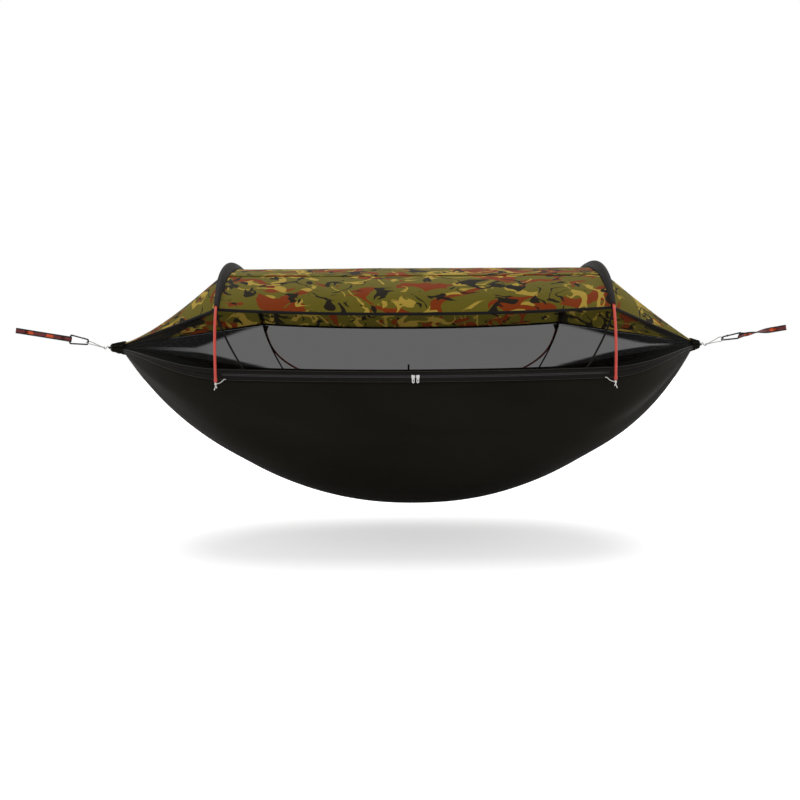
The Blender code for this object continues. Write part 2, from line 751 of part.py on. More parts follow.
def make_pull(side, slider):
    name = f"zip_pull_{NAMES[side]}"
    piece = link_mesh(name, cylinder_mesh(name, Vector(), X_AXIS, PULL_EYE_RADIUS, PULL_EYE_LENGTH, sides=12))
    tab = box_mesh("tab", (-PULL_WIDTH / 2, -PULL_THICKNESS / 2, -PULL_LENGTH),
                   (PULL_WIDTH / 2, PULL_THICKNESS / 2, -PULL_EYE_RADIUS - RUNNING_GAP))
    neck_y = PULL_THICKNESS / 2 * PULL_NECK_SHARE
    neck = box_mesh("neck", (-PULL_EYE_LENGTH / 2, -neck_y, -PULL_EYE_RADIUS - PULL_WIDTH / 4),
                    (PULL_EYE_LENGTH / 2, neck_y, -PULL_EYE_BORE - PULL_EYE_WALL / 2))
    combine(piece, neck, "UNION")
    combine(piece, tab, "UNION")
    bore = cylinder_mesh("bore", Vector(), X_AXIS, PULL_EYE_BORE, 2 * PULL_EYE_LENGTH, sides=12)
    combine(piece, bore, "DIFFERENCE")
    apply_changes(piece)
    finish(piece, "slider_white", transform=Matrix.Translation((0, -PULL_PIN_OUT, 0)), parent=slider)


# Poles and sleeves

FERRULE_BORE = POLE_RADIUS / math.cos(math.pi / TUBE_SIDES) + FERRULE_CLEARANCE


def make_pole(side):
    joins = even_angles(0.0, math.pi, 3)
    names = ("front", "middle", "back")
    for index, name in enumerate(names):
        first, last = joins[index], joins[index + 1]
        if name != "front":
            first += pole_turn(POLE_JOIN_GAP / 2, first)
        if name != "back":
            last -= pole_turn(POLE_JOIN_GAP / 2, last)
        points = [pole_point(angle, side) for angle in even_angles(first, last, POLE_SEGMENTS)]
        tube(f"pole_{name}_{NAMES[side]}", points, POLE_RADIUS, POLE_WALL, "pole_red")
    for number, join in enumerate(joins[1:3], start=1):
        turn = pole_turn(FERRULE_LENGTH / 2, join)
        points = [pole_point(mix(join - turn, join + turn, step / 4), side) for step in range(5)]
        name = f"pole_ferrule_{NAMES[side]}_{number}"
        tube(name, points, FERRULE_BORE + FERRULE_WALL, FERRULE_WALL, "alloy")
    points = [pole_point(angle, side) for angle in even_angles(0.0, math.pi, 3 * POLE_SEGMENTS)]
    rod(f"pole_cord_{NAMES[side]}", points, CORE_CORD_RADIUS, "white_elastic", sides_step=1)


def make_sleeve(side):
    lift = (CLOTH_THICKNESS + SLEEVE_THICKNESS) / 2 + PIECE_GAP
    rows = []
    for row in range(CANOPY_ROWS + 1):
        share = math.sin(math.pi * row / CANOPY_ROWS)
        angle = SLEEVE_ANGLES[row]
        middle, normal = pole_point(angle, side), pole_normal(angle)
        half = mix(SLEEVE_END_WIDTH, SLEEVE_TOP_WIDTH, share ** SLEEVE_SWELL_POWER) / 2
        carried = mix(POLE_RADIUS, FERRULE_BORE + FERRULE_WALL, min(1.0, 2 * share))
        cap = carried + SLEEVE_SLACK + SLEEVE_THICKNESS / 2
        outward = X_AXIS * side
        inner = beside_arch(half, row, side, False) + normal * lift
        outer = beside_arch(half, row, side, True)
        slope = (outer - canopy_arch(row, side)).normalized()
        outer = outer + (normal - slope * normal.dot(slope)).normalized() * lift
        line = [inner]
        for turn in map(math.radians, SLEEVE_CAP_ANGLES):
            direction = outward * math.cos(turn) + normal * math.sin(turn)
            line.append(middle + direction * cap)
        line.append(outer)
        rows.append(line)
    cloth(f"pole_sleeve_{NAMES[side]}", rows, SLEEVE_THICKNESS, "black_webbing")


# Canopy and nets

def make_canopy():
    rows = []
    for row in range(CANOPY_ROWS + 1):
        low, high = span_share(FOLD_SEAM_GAP / 2, row, LEFT), span_share(FOLD_SEAM_GAP / 2, row, RIGHT)
        rows.append([canopy_span(mix(low, high, step / CANOPY_COLUMNS), row)
                     for step in range(CANOPY_COLUMNS + 1)])
    cloth("canopy_centre", rows, CLOTH_THICKNESS, "camouflage")
    for side in (LEFT, RIGHT):
        rows = []
        for row in range(CANOPY_ROWS + 1):
            first = end_share(FOLD_SEAM_GAP / 2, row, side)
            rows.append([canopy_end(mix(first, 1, step / CANOPY_END_COLUMNS), row, side)
                         for step in range(CANOPY_END_COLUMNS + 1)])
        cloth(f"canopy_end_{NAMES[side]}", rows, CLOTH_THICKNESS, "camouflage")
    for depth in (FRONT, BACK):
        top = [point + toward_bed(point, depth) * SEAM_GAP for point in CANOPY_EDGES[depth]]
        low = [trim_low(point, depth) for point in CANOPY_EDGES[depth]]
        cloth(f"canopy_trim_{DEPTH_NAMES[depth]}", [top, low], CLOTH_THICKNESS, "black_webbing")


def make_nets():
    stations = edge_stations()
    for depth in (FRONT, BACK):
        rows = []
        for step in range(NET_ROWS + 1):
            up = step / NET_ROWS
            left = seam_place(LEFT, up, depth) + SEAM_GAP / 2
            right = seam_place(RIGHT, up, depth) - SEAM_GAP / 2
            line = []
            for column in range(CANOPY_COLUMNS + 1):
                x = mix(left, right, column / CANOPY_COLUMNS)
                line.append(net_point(x, x, up, depth))
            rows.append(line)
        cloth(f"net_{DEPTH_NAMES[depth]}", rows, NET_THICKNESS, "net_mesh")
        for side in (LEFT, RIGHT):
            start, end = seam_foot(side, depth), end_place(side)
            beyond = [x for x in stations if side * (x - start) > NET_FIRST_STEP]
            beyond.sort(key=lambda x: side * x)
            shares = [0.0] + [(x - start) / (end - start) for x in beyond]
            rows = []
            for step in range(NET_ROWS + 1):
                up = step / NET_ROWS
                first = seam_place(side, up, depth) + side * SEAM_GAP / 2
                rows.append([net_point(mix(first, end, share), mix(first, end, share), up, depth)
                             for share in shares])
            cloth(f"net_end_{DEPTH_NAMES[depth]}_{NAMES[side]}", rows, NET_THICKNESS, "net_mesh")


# Tabs and foot ties

def make_tabs():
    lift = (NET_THICKNESS + CLOTH_THICKNESS) / 2 + PIECE_GAP
    for side in (LEFT, RIGHT):
        corner = canopy_arch(edge_row(BACK), side)
        middle = corner.x - side * CORNER_TAB_WIDTH / 2
        rows = []
        for share in (0.0, 1.0):
            half = mix(CORNER_TAB_WIDTH, CORNER_TAB_POINT, share) / 2
            line = []
            for step in range(3):
                x = middle + mix(-half, half, step / 2)
                top = net_point(x, x, 1.0, BACK)
                foot = net_point(x, x, 0.0, BACK)
                down = (foot - top).normalized()
                off_net = Vector((0, -down.z, down.y)).normalized() * lift
                line.append(top + down * mix(PIECE_GAP, CORNER_TAB_HEIGHT, share) + off_net)
            rows.append(line)
        cloth(f"corner_tab_{NAMES[side]}", rows, CLOTH_THICKNESS, "black_webbing")
    x = ARCH_OFFSET + HEM_LOOP_PLACE
    out = Vector((0, CLOTH_THICKNESS + PIECE_GAP, 0))
    rows = [[wall_point(x + mix(-HEM_LOOP_WIDTH, HEM_LOOP_WIDTH, share) / 2, BACK, rise) + out
             for share in (0.0, 1.0)] for rise in (-TAPE_OUTER, HEM_LOOP_HEIGHT - TAPE_OUTER)]
    cloth("hem_loop_back", rows, CLOTH_THICKNESS, "black_webbing")


def tie_seat(x, depth):
    """Middle of a tie's cord where it lies against the lower edge of the lower tape or of the hem."""
    seat = wall_point(x, depth, -TAPE_OUTER + TIE_RADIUS)
    seat.y += depth * (CLOTH_THICKNESS / 2 + PIECE_GAP + TIE_RADIUS)
    return seat


def make_tie(side, depth):
    """The elastic that holds a pole's foot to the hem, with its knot and tail."""
    angle = 0.0 if depth == FRONT else math.pi
    foot = pole_point(angle, side)
    inside = pole_point(abs(angle - math.radians(2)), side)
    middle = foot + (foot - inside).normalized() * (TIE_KNOT_RADIUS + PIECE_GAP)
    seat = tie_seat(foot.x - side * TIE_REACH, depth)
    sag = Vector((0, 0, -TIE_KNOT_RADIUS))
    route = []
    for step in range(7):
        share = step / 6
        route.append(mix(middle, seat, share) + sag * 4 * share * (1 - share))
    route.append(tie_seat(foot.x - side * (TIE_REACH + TIE_SEAT_LENGTH), depth))
    name = f"foot_tie_{DEPTH_NAMES[depth]}_{NAMES[side]}"
    piece = link_mesh(name, ball_mesh(name, middle, TIE_KNOT_RADIUS))
    combine(piece, rod_mesh("tie", route, TIE_RADIUS, sides_step=1), "UNION")
    drift = side * TIE_TAIL_LENGTH * TIE_TAIL_DRIFT_SHARE
    tail = [middle + Vector((drift * (step / 4) ** 2, 0, -TIE_TAIL_LENGTH * step / 4)) for step in range(5)]
    combine(piece, rod_mesh("tail", tail, TIE_RADIUS, sides_step=1), "UNION")
    apply_changes(piece)
    shade(piece)
    finish(piece, "white_elastic", SWING_POINT)


# Gathered channels, S-hooks, ropes and cord loops

def make_channel(side):
    name = f"end_channel_{NAMES[side]}"
    build = bmesh.new()
    around = 4 * CHANNEL_PLEATS
    start = end_place(side) + side * (CLOTH_THICKNESS / 2 + PIECE_GAP)
    end = side * (HALF_TIPS - CHANNEL_TIP_SETBACK)
    mouth_middle = (CHANNEL_MOUTH_TOP + CHANNEL_MOUTH_BOTTOM) / 2
    mouth_half = (CHANNEL_MOUTH_TOP - CHANNEL_MOUTH_BOTTOM) / 2
    bmesh.ops.create_cone(build, cap_ends=True, segments=around, radius1=1, radius2=1, depth=1)
    sides = [edge for edge in build.edges if abs(edge.verts[0].co.z - edge.verts[1].co.z) > 0.5]
    bmesh.ops.subdivide_edges(build, edges=sides, cuts=CHANNEL_RINGS - 1, use_grid_fill=False)
    for vertex in build.verts:
        share = vertex.co.z + 0.5
        angle = math.atan2(vertex.co.y, vertex.co.x)
        swell = share ** CHANNEL_SWELL_POWER
        pleat = CHANNEL_PLEAT_DEPTH * math.cos(CHANNEL_PLEATS * angle)
        half_y = mix(CHANNEL_MOUTH_HALF_WIDTH, CHANNEL_TIP_RADIUS, swell) + pleat
        half_z = mix(mouth_half, CHANNEL_TIP_RADIUS, swell) + pleat
        vertex.co = Vector((mix(start, end, share), half_y * math.cos(angle),
                            mix(mouth_middle, 0, swell) + half_z * math.sin(angle)))
    face_outward(build)
    mesh = bpy.data.meshes.new(name)
    build.to_mesh(mesh)
    build.free()
    piece = link_mesh(name, mesh)
    shade(piece)
    finish(piece, "bed_nylon", SWING_POINT)


HOOK_MIDDLE = HALF_TIPS + HOOK_TIP_DISTANCE
HOOK_OUTER_WIRE = HOOK_MIDDLE + HOOK_BOW_SPACING + HOOK_OUTER_BOW


def make_hook(side):
    """An S-hook: the inner bow arches over the end rope, the outer bow dips under the cord loop."""
    points = []
    for step in range(10):
        angle = math.radians(mix(*HOOK_INNER_SWEEP, step / 9))
        points.append(Vector((HOOK_MIDDLE + HOOK_INNER_BOW * math.cos(angle), 0,
                              HOOK_INNER_BOW * math.sin(angle))))
    for step in range(10):
        angle = math.radians(mix(*HOOK_OUTER_SWEEP, step / 9))
        points.append(Vector((HOOK_MIDDLE + HOOK_BOW_SPACING + HOOK_OUTER_BOW * math.cos(angle), 0,
                              HOOK_OUTER_BOW * math.sin(angle))))
    points = [Vector((side * point.x, point.y, point.z)) for point in points]
    rod(f"s_hook_{NAMES[side]}", points, HOOK_WIRE_RADIUS, "steel")


def make_rope(side):
    """The loop of the hammock's end rope that the S-hook holds."""
    bend = HOOK_WIRE_RADIUS + ROPE_RADIUS + PIECE_GAP
    wire = HOOK_MIDDLE - HOOK_INNER_BOW
    face = HALF_TIPS - CHANNEL_TIP_SETBACK + PIECE_GAP
    points = [Vector((face, -bend, 0))]
    for step in range(9):
        angle = math.radians(mix(-90, 90, step / 8))
        points.append(Vector((wire + bend * math.cos(angle), bend * math.sin(angle), 0)))
    points.append(Vector((face, bend, 0)))
    points = [Vector((side * point.x, point.y, point.z)) for point in points]
    rod(f"end_rope_{NAMES[side]}", points, ROPE_RADIUS, "bed_nylon")


LOOP_TIP_GAP = HOOK_WIRE_RADIUS + LOOP_CORD_RADIUS + PIECE_GAP
LOOP_BAR_GAP = CARABINER_BAR_RADIUS + LOOP_CORD_RADIUS + PIECE_GAP


def make_loop(side):
    """A closed cord loop, pear shaped, from the S-hook's outer bow round the carabiner's narrow bar."""
    top_middle = NARROW_BAR_DISTANCE + LOOP_BAR_GAP - LOOP_BEND_RADIUS
    run = top_middle - HOOK_OUTER_WIRE
    lean = math.asin((LOOP_BEND_RADIUS - LOOP_TIP_GAP) / run)
    flat = []
    for step in range(13):
        angle = mix(-math.pi / 2 - lean, math.pi / 2 + lean, step / 12)
        flat.append((top_middle + LOOP_BEND_RADIUS * math.cos(angle), LOOP_BEND_RADIUS * math.sin(angle)))
    for step in range(7):
        angle = mix(math.pi / 2 + lean, 3 * math.pi / 2 - lean, step / 6)
        flat.append((HOOK_OUTER_WIRE + LOOP_TIP_GAP * math.cos(angle), LOOP_TIP_GAP * math.sin(angle)))
    points = []
    roll = LOOP_ROLL_LEFT if side == LEFT else LOOP_ROLL_RIGHT
    for out, across in flat:
        climb = SWING_HEIGHT * max(0.0, (out - HOOK_OUTER_WIRE) / (NARROW_BAR_DISTANCE - HOOK_OUTER_WIRE))
        climb = min(climb, SWING_HEIGHT)
        turn = roll * max(0.0, min(1.0, (out - HOOK_OUTER_WIRE) / run))
        points.append(Vector((side * out, across * math.cos(turn), climb + across * math.sin(turn))))
    rod(f"cord_loop_{NAMES[side]}", points, LOOP_CORD_RADIUS, "silver_cord", closed=True)


# Carabiners and straps

def carabiner_frame(side):
    """Placement of a carabiner: local X outward along the strap, Z across its narrow bar."""
    heading = 0.0 if side == RIGHT else math.pi
    roll = CARABINER_ROLL_RIGHT if side == RIGHT else 0.0
    return (Matrix.Translation((side * NARROW_BAR_DISTANCE, 0, SWING_HEIGHT))
            @ Matrix.Rotation(heading, 4, "Z") @ Matrix.Rotation(-CARABINER_SLOPE, 4, "Y")
            @ Matrix.Rotation(roll, 4, "X"))


def bar_height(place):
    return mix(NARROW_BAR_HALF, WIDE_BAR_HALF, place / CARABINER_LENGTH)


def rounded_path(corners, radius):
    """A path through corners, each replaced by an arc."""
    points = [corners[0]]
    for before, corner, after in zip(corners, corners[1:], corners[2:]):
        into, out = (corner - before).normalized(), (after - corner).normalized()
        turn = into.angle(out)
        cut = radius * math.tan(turn / 2)
        middle = corner - into * cut + (out - into * into.dot(out)).normalized() * radius
        start = corner - into * cut - middle
        axis = into.cross(out).normalized()
        for step in range(5):
            points.append(middle + Matrix.Rotation(turn * step / 4, 3, axis) @ start)
    points.append(corners[-1])
    return points


TONGUE_RADIUS = GATE_RADIUS - PIECE_GAP / 4


def gate_hinge():
    return Vector((GATE_HINGE_PLACE, 0, bar_height(GATE_HINGE_PLACE)))


def gate_direction():
    nose = Vector((GATE_NOSE_PLACE, 0, bar_height(GATE_NOSE_PLACE)))
    return (nose - gate_hinge()).normalized()


def make_carabiner(side):
    name = f"carabiner_{NAMES[side]}"
    place = carabiner_frame(side)
    along = gate_direction()
    hinge = gate_hinge()
    shoulder = hinge - along * (GATE_RADIUS + 2 * PIECE_GAP)
    nose = hinge + along * (GATE_NOSE_PLACE - GATE_HINGE_PLACE)
    corners = [shoulder, Vector((0, 0, NARROW_BAR_HALF)), Vector((0, 0, -NARROW_BAR_HALF)),
               Vector((CARABINER_LENGTH, 0, -WIDE_BAR_HALF)), Vector((CARABINER_LENGTH, 0, WIDE_BAR_HALF)),
               nose]
    points = rounded_path(corners, CARABINER_CORNER)
    piece = link_mesh(name, rod_mesh(name, points, CARABINER_BAR_RADIUS))
    turn = X_AXIS.rotation_difference(along).to_matrix().to_4x4()
    root = -(GATE_RADIUS + 4 * PIECE_GAP + CARABINER_BAR_RADIUS)
    tongue = box_mesh("tongue", (root, -GATE_TONGUE / 2, -TONGUE_RADIUS), (0, GATE_TONGUE / 2, TONGUE_RADIUS))
    tongue.transform(Matrix.Translation(hinge) @ turn)
    combine(piece, tongue, "UNION")
    tongue_end = cylinder_mesh("tongue_end", hinge, Y_AXIS, TONGUE_RADIUS, GATE_TONGUE * JOIN_SHARE)
    combine(piece, tongue_end, "UNION")
    hole = cylinder_mesh("hole", hinge, Y_AXIS, GATE_PIN_RADIUS + RUNNING_GAP, 4 * GATE_TONGUE, sides=12)
    combine(piece, hole, "DIFFERENCE")
    apply_changes(piece)
    shade(piece)
    finish(piece, "gunmetal", transform=place)


def make_gate(side):
    name = f"carabiner_gate_{NAMES[side]}"
    along = gate_direction()
    length = GATE_NOSE_PLACE - GATE_HINGE_PLACE - PIECE_GAP
    turn = X_AXIS.rotation_difference(along).to_matrix().to_4x4()
    piece = link_mesh(name, cylinder_mesh(name, X_AXIS * length / 2, X_AXIS, GATE_RADIUS, length, sides=12))
    ear_radius = GATE_RADIUS * JOIN_SHARE
    ear = cylinder_mesh("ear", Vector(), Y_AXIS, ear_radius, 2 * ear_radius)
    combine(piece, ear, "UNION")
    slot_half = GATE_TONGUE / 2 + RUNNING_GAP
    slot = box_mesh("slot", (-2 * GATE_RADIUS, -slot_half, -2 * GATE_RADIUS),
                    (GATE_SLOT_DEPTH, slot_half, 2 * GATE_RADIUS))
    combine(piece, slot, "DIFFERENCE")
    bore = cylinder_mesh("bore", Vector(), Y_AXIS, GATE_PIN_RADIUS + RUNNING_GAP, 4 * GATE_RADIUS, sides=12)
    combine(piece, bore, "DIFFERENCE")
    apply_changes(piece)
    shade(piece)
    hinge_frame = carabiner_frame(side) @ Matrix.Translation(gate_hinge()) @ turn
    finish(piece, "gunmetal", transform=hinge_frame)
    pin = link_mesh(f"gate_pin_{NAMES[side]}",
                    cylinder_mesh("pin", Vector(), Y_AXIS, GATE_PIN_RADIUS, 2 * GATE_RADIUS, sides=12))
    shade(pin)
    finish(pin, "steel", transform=hinge_frame)


def strap_length(side):
    return STRAP_LENGTH_LEFT if side == LEFT else STRAP_LENGTH_RIGHT


def strap_path(side):
    """The webbing's middle line seen from above, once round: the carabiner's eye, then the outer eye."""
    inner_radius = CARABINER_BAR_RADIUS + STRAP_WRAP_GAP + STRAP_THICKNESS / 2
    layer = STRAP_THICKNESS / 2 + PIECE_GAP / 2
    outer_middle = strap_length(side) - STRAP_EYE_RADIUS
    half = []
    for step in range(5):
        angle = math.radians(mix(*STRAP_WRAP_SWEEP, step / 4))
        half.append((inner_radius * math.cos(angle), inner_radius * math.sin(angle)))
    for share in (0.25, 0.5, 0.75):
        half.append((STRAP_INNER_EYE_RUN * share, mix(inner_radius, layer, share ** 2 * (3 - 2 * share))))
    for step in range(STRAP_RUN_STEPS + 1):
        half.append((mix(STRAP_INNER_EYE_RUN, outer_middle - STRAP_EYE_RUN, step / STRAP_RUN_STEPS), layer))
    for share in (0.25, 0.5, 0.75):
        half.append((outer_middle - STRAP_EYE_RUN * (1 - share),
                     mix(layer, STRAP_EYE_RADIUS, share ** 2 * (3 - 2 * share))))
    for step in range(5):
        angle = math.radians(mix(90, 0, step / 4))
        half.append((outer_middle + STRAP_EYE_RADIUS * math.cos(angle), STRAP_EYE_RADIUS * math.sin(angle)))
    mirrored = [(x, -y) for x, y in reversed(half[1:-1])]
    return half + mirrored


def make_strap(side):
    name = f"strap_{NAMES[side]}"
    path = strap_path(side)
    curve = bpy.data.curves.new(name, "CURVE")
    curve.dimensions = "2D"
    curve.fill_mode = "NONE"
    curve.extrude = STRAP_WIDTH / 2
    spline = curve.splines.new("POLY")
    spline.points.add(len(path) - 1)
    for target, (x, y) in zip(spline.points, path):
        target.co = (x, y, 0.0, 1.0)
    spline.use_cyclic_u = True
    guide = link_mesh(name + "_guide", curve)
    bpy.context.view_layer.update()
    mesh = bpy.data.meshes.new_from_object(guide.evaluated_get(bpy.context.evaluated_depsgraph_get()))
    bpy.data.objects.remove(guide, do_unlink=True)
    bpy.data.curves.remove(curve)
    build = bmesh.new()
    build.from_mesh(mesh)
    bmesh.ops.remove_doubles(build, verts=build.verts, dist=STRAP_THICKNESS * WELD_SHARE)
    bmesh.ops.recalc_face_normals(build, faces=build.faces)
    if side == RIGHT:
        start, end = STRAP_INNER_EYE_RUN, strap_length(side) - STRAP_EYE_RADIUS - STRAP_EYE_RUN
        for vertex in build.verts:
            share = max(0.0, min(1.0, (vertex.co.x - start) / (end - start)))
            vertex.co = Matrix.Rotation(STRAP_TWIST_RIGHT * share ** 2 * (3 - 2 * share), 3, "X") @ vertex.co
    build.to_mesh(mesh)
    build.free()
    mesh.name = name
    piece = link_mesh(name, mesh)
    solidify(piece, STRAP_THICKNESS)
    shade(piece)
    place = carabiner_frame(side) @ Matrix.Translation((CARABINER_LENGTH, 0, 0))
    finish(piece, "strap_webbing", transform=place)


def eye_bearing(side):
    """Where a strap's outer eye bears on what it hangs from."""
    place = Vector((CARABINER_LENGTH + strap_length(side) - STRAP_THICKNESS / 2, 0, 0))
    return carabiner_frame(side) @ place


LAYOUT = bpy.data.objects.new("tips_middle", None)
LAYOUT.location = -eye_bearing(LEFT)
PARTS.objects.link(LAYOUT)
ZIP_ARC_CENTRE = bpy.data.objects.new("zip_arc_centre", None)
ZIP_ARC_CENTRE.parent = LAYOUT
ZIP_ARC_CENTRE.location = (ARCH_OFFSET, -BED_HALF_WIDTH + ZIP_ARC_RADIUS * math.cos(ZIP_PLANE_TILT),
                           ZIP_HEIGHT + ZIP_ARC_RADIUS * math.sin(ZIP_PLANE_TILT))
ZIP_ARC_CENTRE.rotation_euler.x = ZIP_PLANE_TILT
PARTS.objects.link(ZIP_ARC_CENTRE)
SWING_POINT = Vector((0, 0, SWING_HEIGHT))
CANOPY_EDGES = {depth: canopy_edge_points(depth) for depth in (FRONT, BACK)}

make_bed()
make_zip()
make_canopy()
make_nets()
make_tabs()
for end in (LEFT, RIGHT):
    make_pull(end, make_slider(end))
    make_pole(end)
    make_sleeve(end)
    make_tie(end, FRONT)
    make_tie(end, BACK)
    make_channel(end)
    make_rope(end)
    make_hook(end)
    make_loop(end)
    make_carabiner(end)
    make_gate(end)
    make_strap(end)
bpy.context.view_layer.update()
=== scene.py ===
import json
import math

import bmesh
import bpy
from mathutils import Matrix, Vector, noise


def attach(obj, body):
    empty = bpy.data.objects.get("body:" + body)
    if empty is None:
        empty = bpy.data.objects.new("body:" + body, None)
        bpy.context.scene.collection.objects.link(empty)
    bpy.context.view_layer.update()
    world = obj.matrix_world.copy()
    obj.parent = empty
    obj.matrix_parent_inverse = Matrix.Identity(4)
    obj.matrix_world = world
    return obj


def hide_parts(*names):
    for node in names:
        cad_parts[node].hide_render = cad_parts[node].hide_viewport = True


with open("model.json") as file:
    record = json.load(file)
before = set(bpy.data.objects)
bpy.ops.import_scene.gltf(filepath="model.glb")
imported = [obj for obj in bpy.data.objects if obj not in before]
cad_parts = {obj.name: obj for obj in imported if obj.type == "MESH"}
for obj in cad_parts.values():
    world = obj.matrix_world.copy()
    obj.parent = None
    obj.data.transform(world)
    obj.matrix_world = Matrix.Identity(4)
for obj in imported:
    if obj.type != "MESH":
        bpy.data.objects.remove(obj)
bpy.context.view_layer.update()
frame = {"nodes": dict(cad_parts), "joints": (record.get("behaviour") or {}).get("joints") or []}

# Hammock tent, in metres. Shapes are laid out from the midpoint between the two gathered tips:
# X along the hammock, Y away from the camera, Z up. Finishes have screen colours, 0 to 255.
left, right = front, back = -1, 1
sideNames = {left: "left", right: "right"}
depthNames = {front: "front", back: "back"}
xAxis, yAxis, zAxis = Vector((1, 0, 0)), Vector((0, 1, 0)), Vector((0, 0, 1))
scene = bpy.context.scene

layout = {
    "tipSpacing": 2.18,
    "channel": {left: 0.060, right: 0.040},
    "archOffset": 0.028,
    "swingHeight": 0.021,
    "seamGap": 0.0004,
    "foldGap": 0.0010,
    "pieceGap": 0.0004,
    "clothThickness": 0.0016,
}
swingJoint = next(joint for joint in frame["joints"] if joint["name"] == "hammock_swing")
middle = Vector(swingJoint["pos_m"]) - zAxis * layout["swingHeight"]
halfTips = layout["tipSpacing"] / 2
archOffset = layout["archOffset"]


# Small sums

def mix(first, second, share):
    return first + (second - first) * share


def shares(count, first=0.0, last=1.0):
    return [mix(first, last, step / count) for step in range(count + 1)]


def clamp(value, low=0.0, high=1.0):
    return max(low, min(high, value))


def smooth(share):
    share = clamp(share)
    return share * share * (3 - 2 * share)


def ease(start, startSlope, end, endSlope, share):
    square, cube = share ** 2, share ** 3
    return (start * (2 * cube - 3 * square + 1) + startSlope * (cube - 2 * square + share)
            + end * (3 * square - 2 * cube) + endSlope * (cube - square))


def arc(radius, first, last, steps, centre=(0.0, 0.0)):
    return [(centre[0] + radius * math.cos(turn), centre[1] + radius * math.sin(turn))
            for turn in shares(steps, first, last)]


def runs(points):
    # the way along the points to each of them
    lengths = [0.0]
    for before, after in zip(points, points[1:]):
        lengths.append(lengths[-1] + (after - before).length)
    return lengths


def sideOf(x):
    return left if x < archOffset else right


def fromScreen(colour):
    parts = [value / 255 for value in colour]
    return (*(part / 12.92 if part <= 0.04045 else ((part + 0.055) / 1.055) ** 2.4 for part in parts), 1.0)


# Nodes

def feed(tree, socket, value):
    if isinstance(value, bpy.types.NodeSocket):
        tree.links.new(value, socket)
    elif value is not None:
        socket.default_value = fromScreen(value) if socket.type == "RGBA" else value


def addNode(tree, kind, inputs=(), **settings):
    node = tree.nodes.new(f"ShaderNode{kind}")
    for label, value in settings.items():
        setattr(node, label, value)
    for label, value in dict(inputs).items():
        feed(tree, node.inputs[label], value)
    return node


def addMath(tree, operation, *values):
    return addNode(tree, "Math", enumerate(values), operation=operation).outputs[0]


def addVectorMath(tree, operation, *values):
    return addNode(tree, "VectorMath", enumerate(values), operation=operation).outputs[0]


def addClamp(tree, value):
    return addNode(tree, "Clamp", {"Value": value}).outputs[0]


def addNoise(tree, vector, scale, detail=2.0, distortion=0.0, roughness=0.5):
    values = {"Vector": vector, "Scale": scale, "Detail": detail, "Distortion": distortion,
              "Roughness": roughness}
    return addNode(tree, "TexNoise", values).outputs["Fac"]


def addMixColour(tree, factor, first, second, mode="MIX"):
    node = addNode(tree, "Mix", data_type="RGBA", blend_type=mode)
    for label, value in (("Factor", factor), ("A", first), ("B", second)):
        feed(tree, node.inputs[label], value)
    return node.outputs["Result"]


def addSplit(tree, vector):
    return addNode(tree, "SeparateXYZ", {0: vector}).outputs


# Groups shared by several finishes

def newGroup(name, inputs, outputs):
    # a number makes a value input, a vector or None a vector input
    group = bpy.data.node_groups.new(name, "ShaderNodeTree")
    for label, value in inputs.items():
        kind = "NodeSocketFloat" if isinstance(value, float) else "NodeSocketVector"
        socket = group.interface.new_socket(name=label, in_out="INPUT", socket_type=kind)
        if value is not None:
            socket.default_value = value
    for label in outputs:
        group.interface.new_socket(name=label, in_out="OUTPUT", socket_type="NodeSocketFloat")
    return group, group.nodes.new("NodeGroupInput").outputs, group.nodes.new("NodeGroupOutput").inputs


def makeWeaveGroup():
    # threads over and under each other, in the cloth's own coordinates
    group, given, out = newGroup("weave", {"Vector": None, "Threads": 600.0}, ("Height", "Hole"))
    split = addSplit(group, given["Vector"])
    waves = []
    for axis in "XY":
        turns = addMath(group, "MULTIPLY", split[axis], given["Threads"])
        waves.append(addMath(group, "SINE", addMath(group, "MULTIPLY", turns, math.pi)))
    crossed = addMath(group, "MULTIPLY", *waves)
    feed(group, out["Height"], addMath(group, "MULTIPLY_ADD", crossed, 0.5, 0.5))
    feed(group, out["Hole"], addMath(group, "MULTIPLY", crossed, crossed))
    return group


def makeWrinkleGroup():
    # soft creases stretched along X, and painted fold shading that goes with them: FoldShade is the broad
    # crease height, so the colour it drives is lighter on crests and darker in troughs
    group, given, out = newGroup("wrinkles", {"Vector": None, "Scale": 6.0}, ("Height", "FoldShade"))
    place = addVectorMath(group, "MULTIPLY", given["Vector"], (0.4, 1.0, 1.0))
    broad = addNoise(group, place, given["Scale"], 3.0, 0.6)
    fine = addNoise(group, place, addMath(group, "MULTIPLY", given["Scale"], 5.0), 2.0, 0.3)
    feed(group, out["Height"], addMath(group, "MULTIPLY_ADD", fine, 0.25, broad))
    feed(group, out["FoldShade"], broad)
    return group


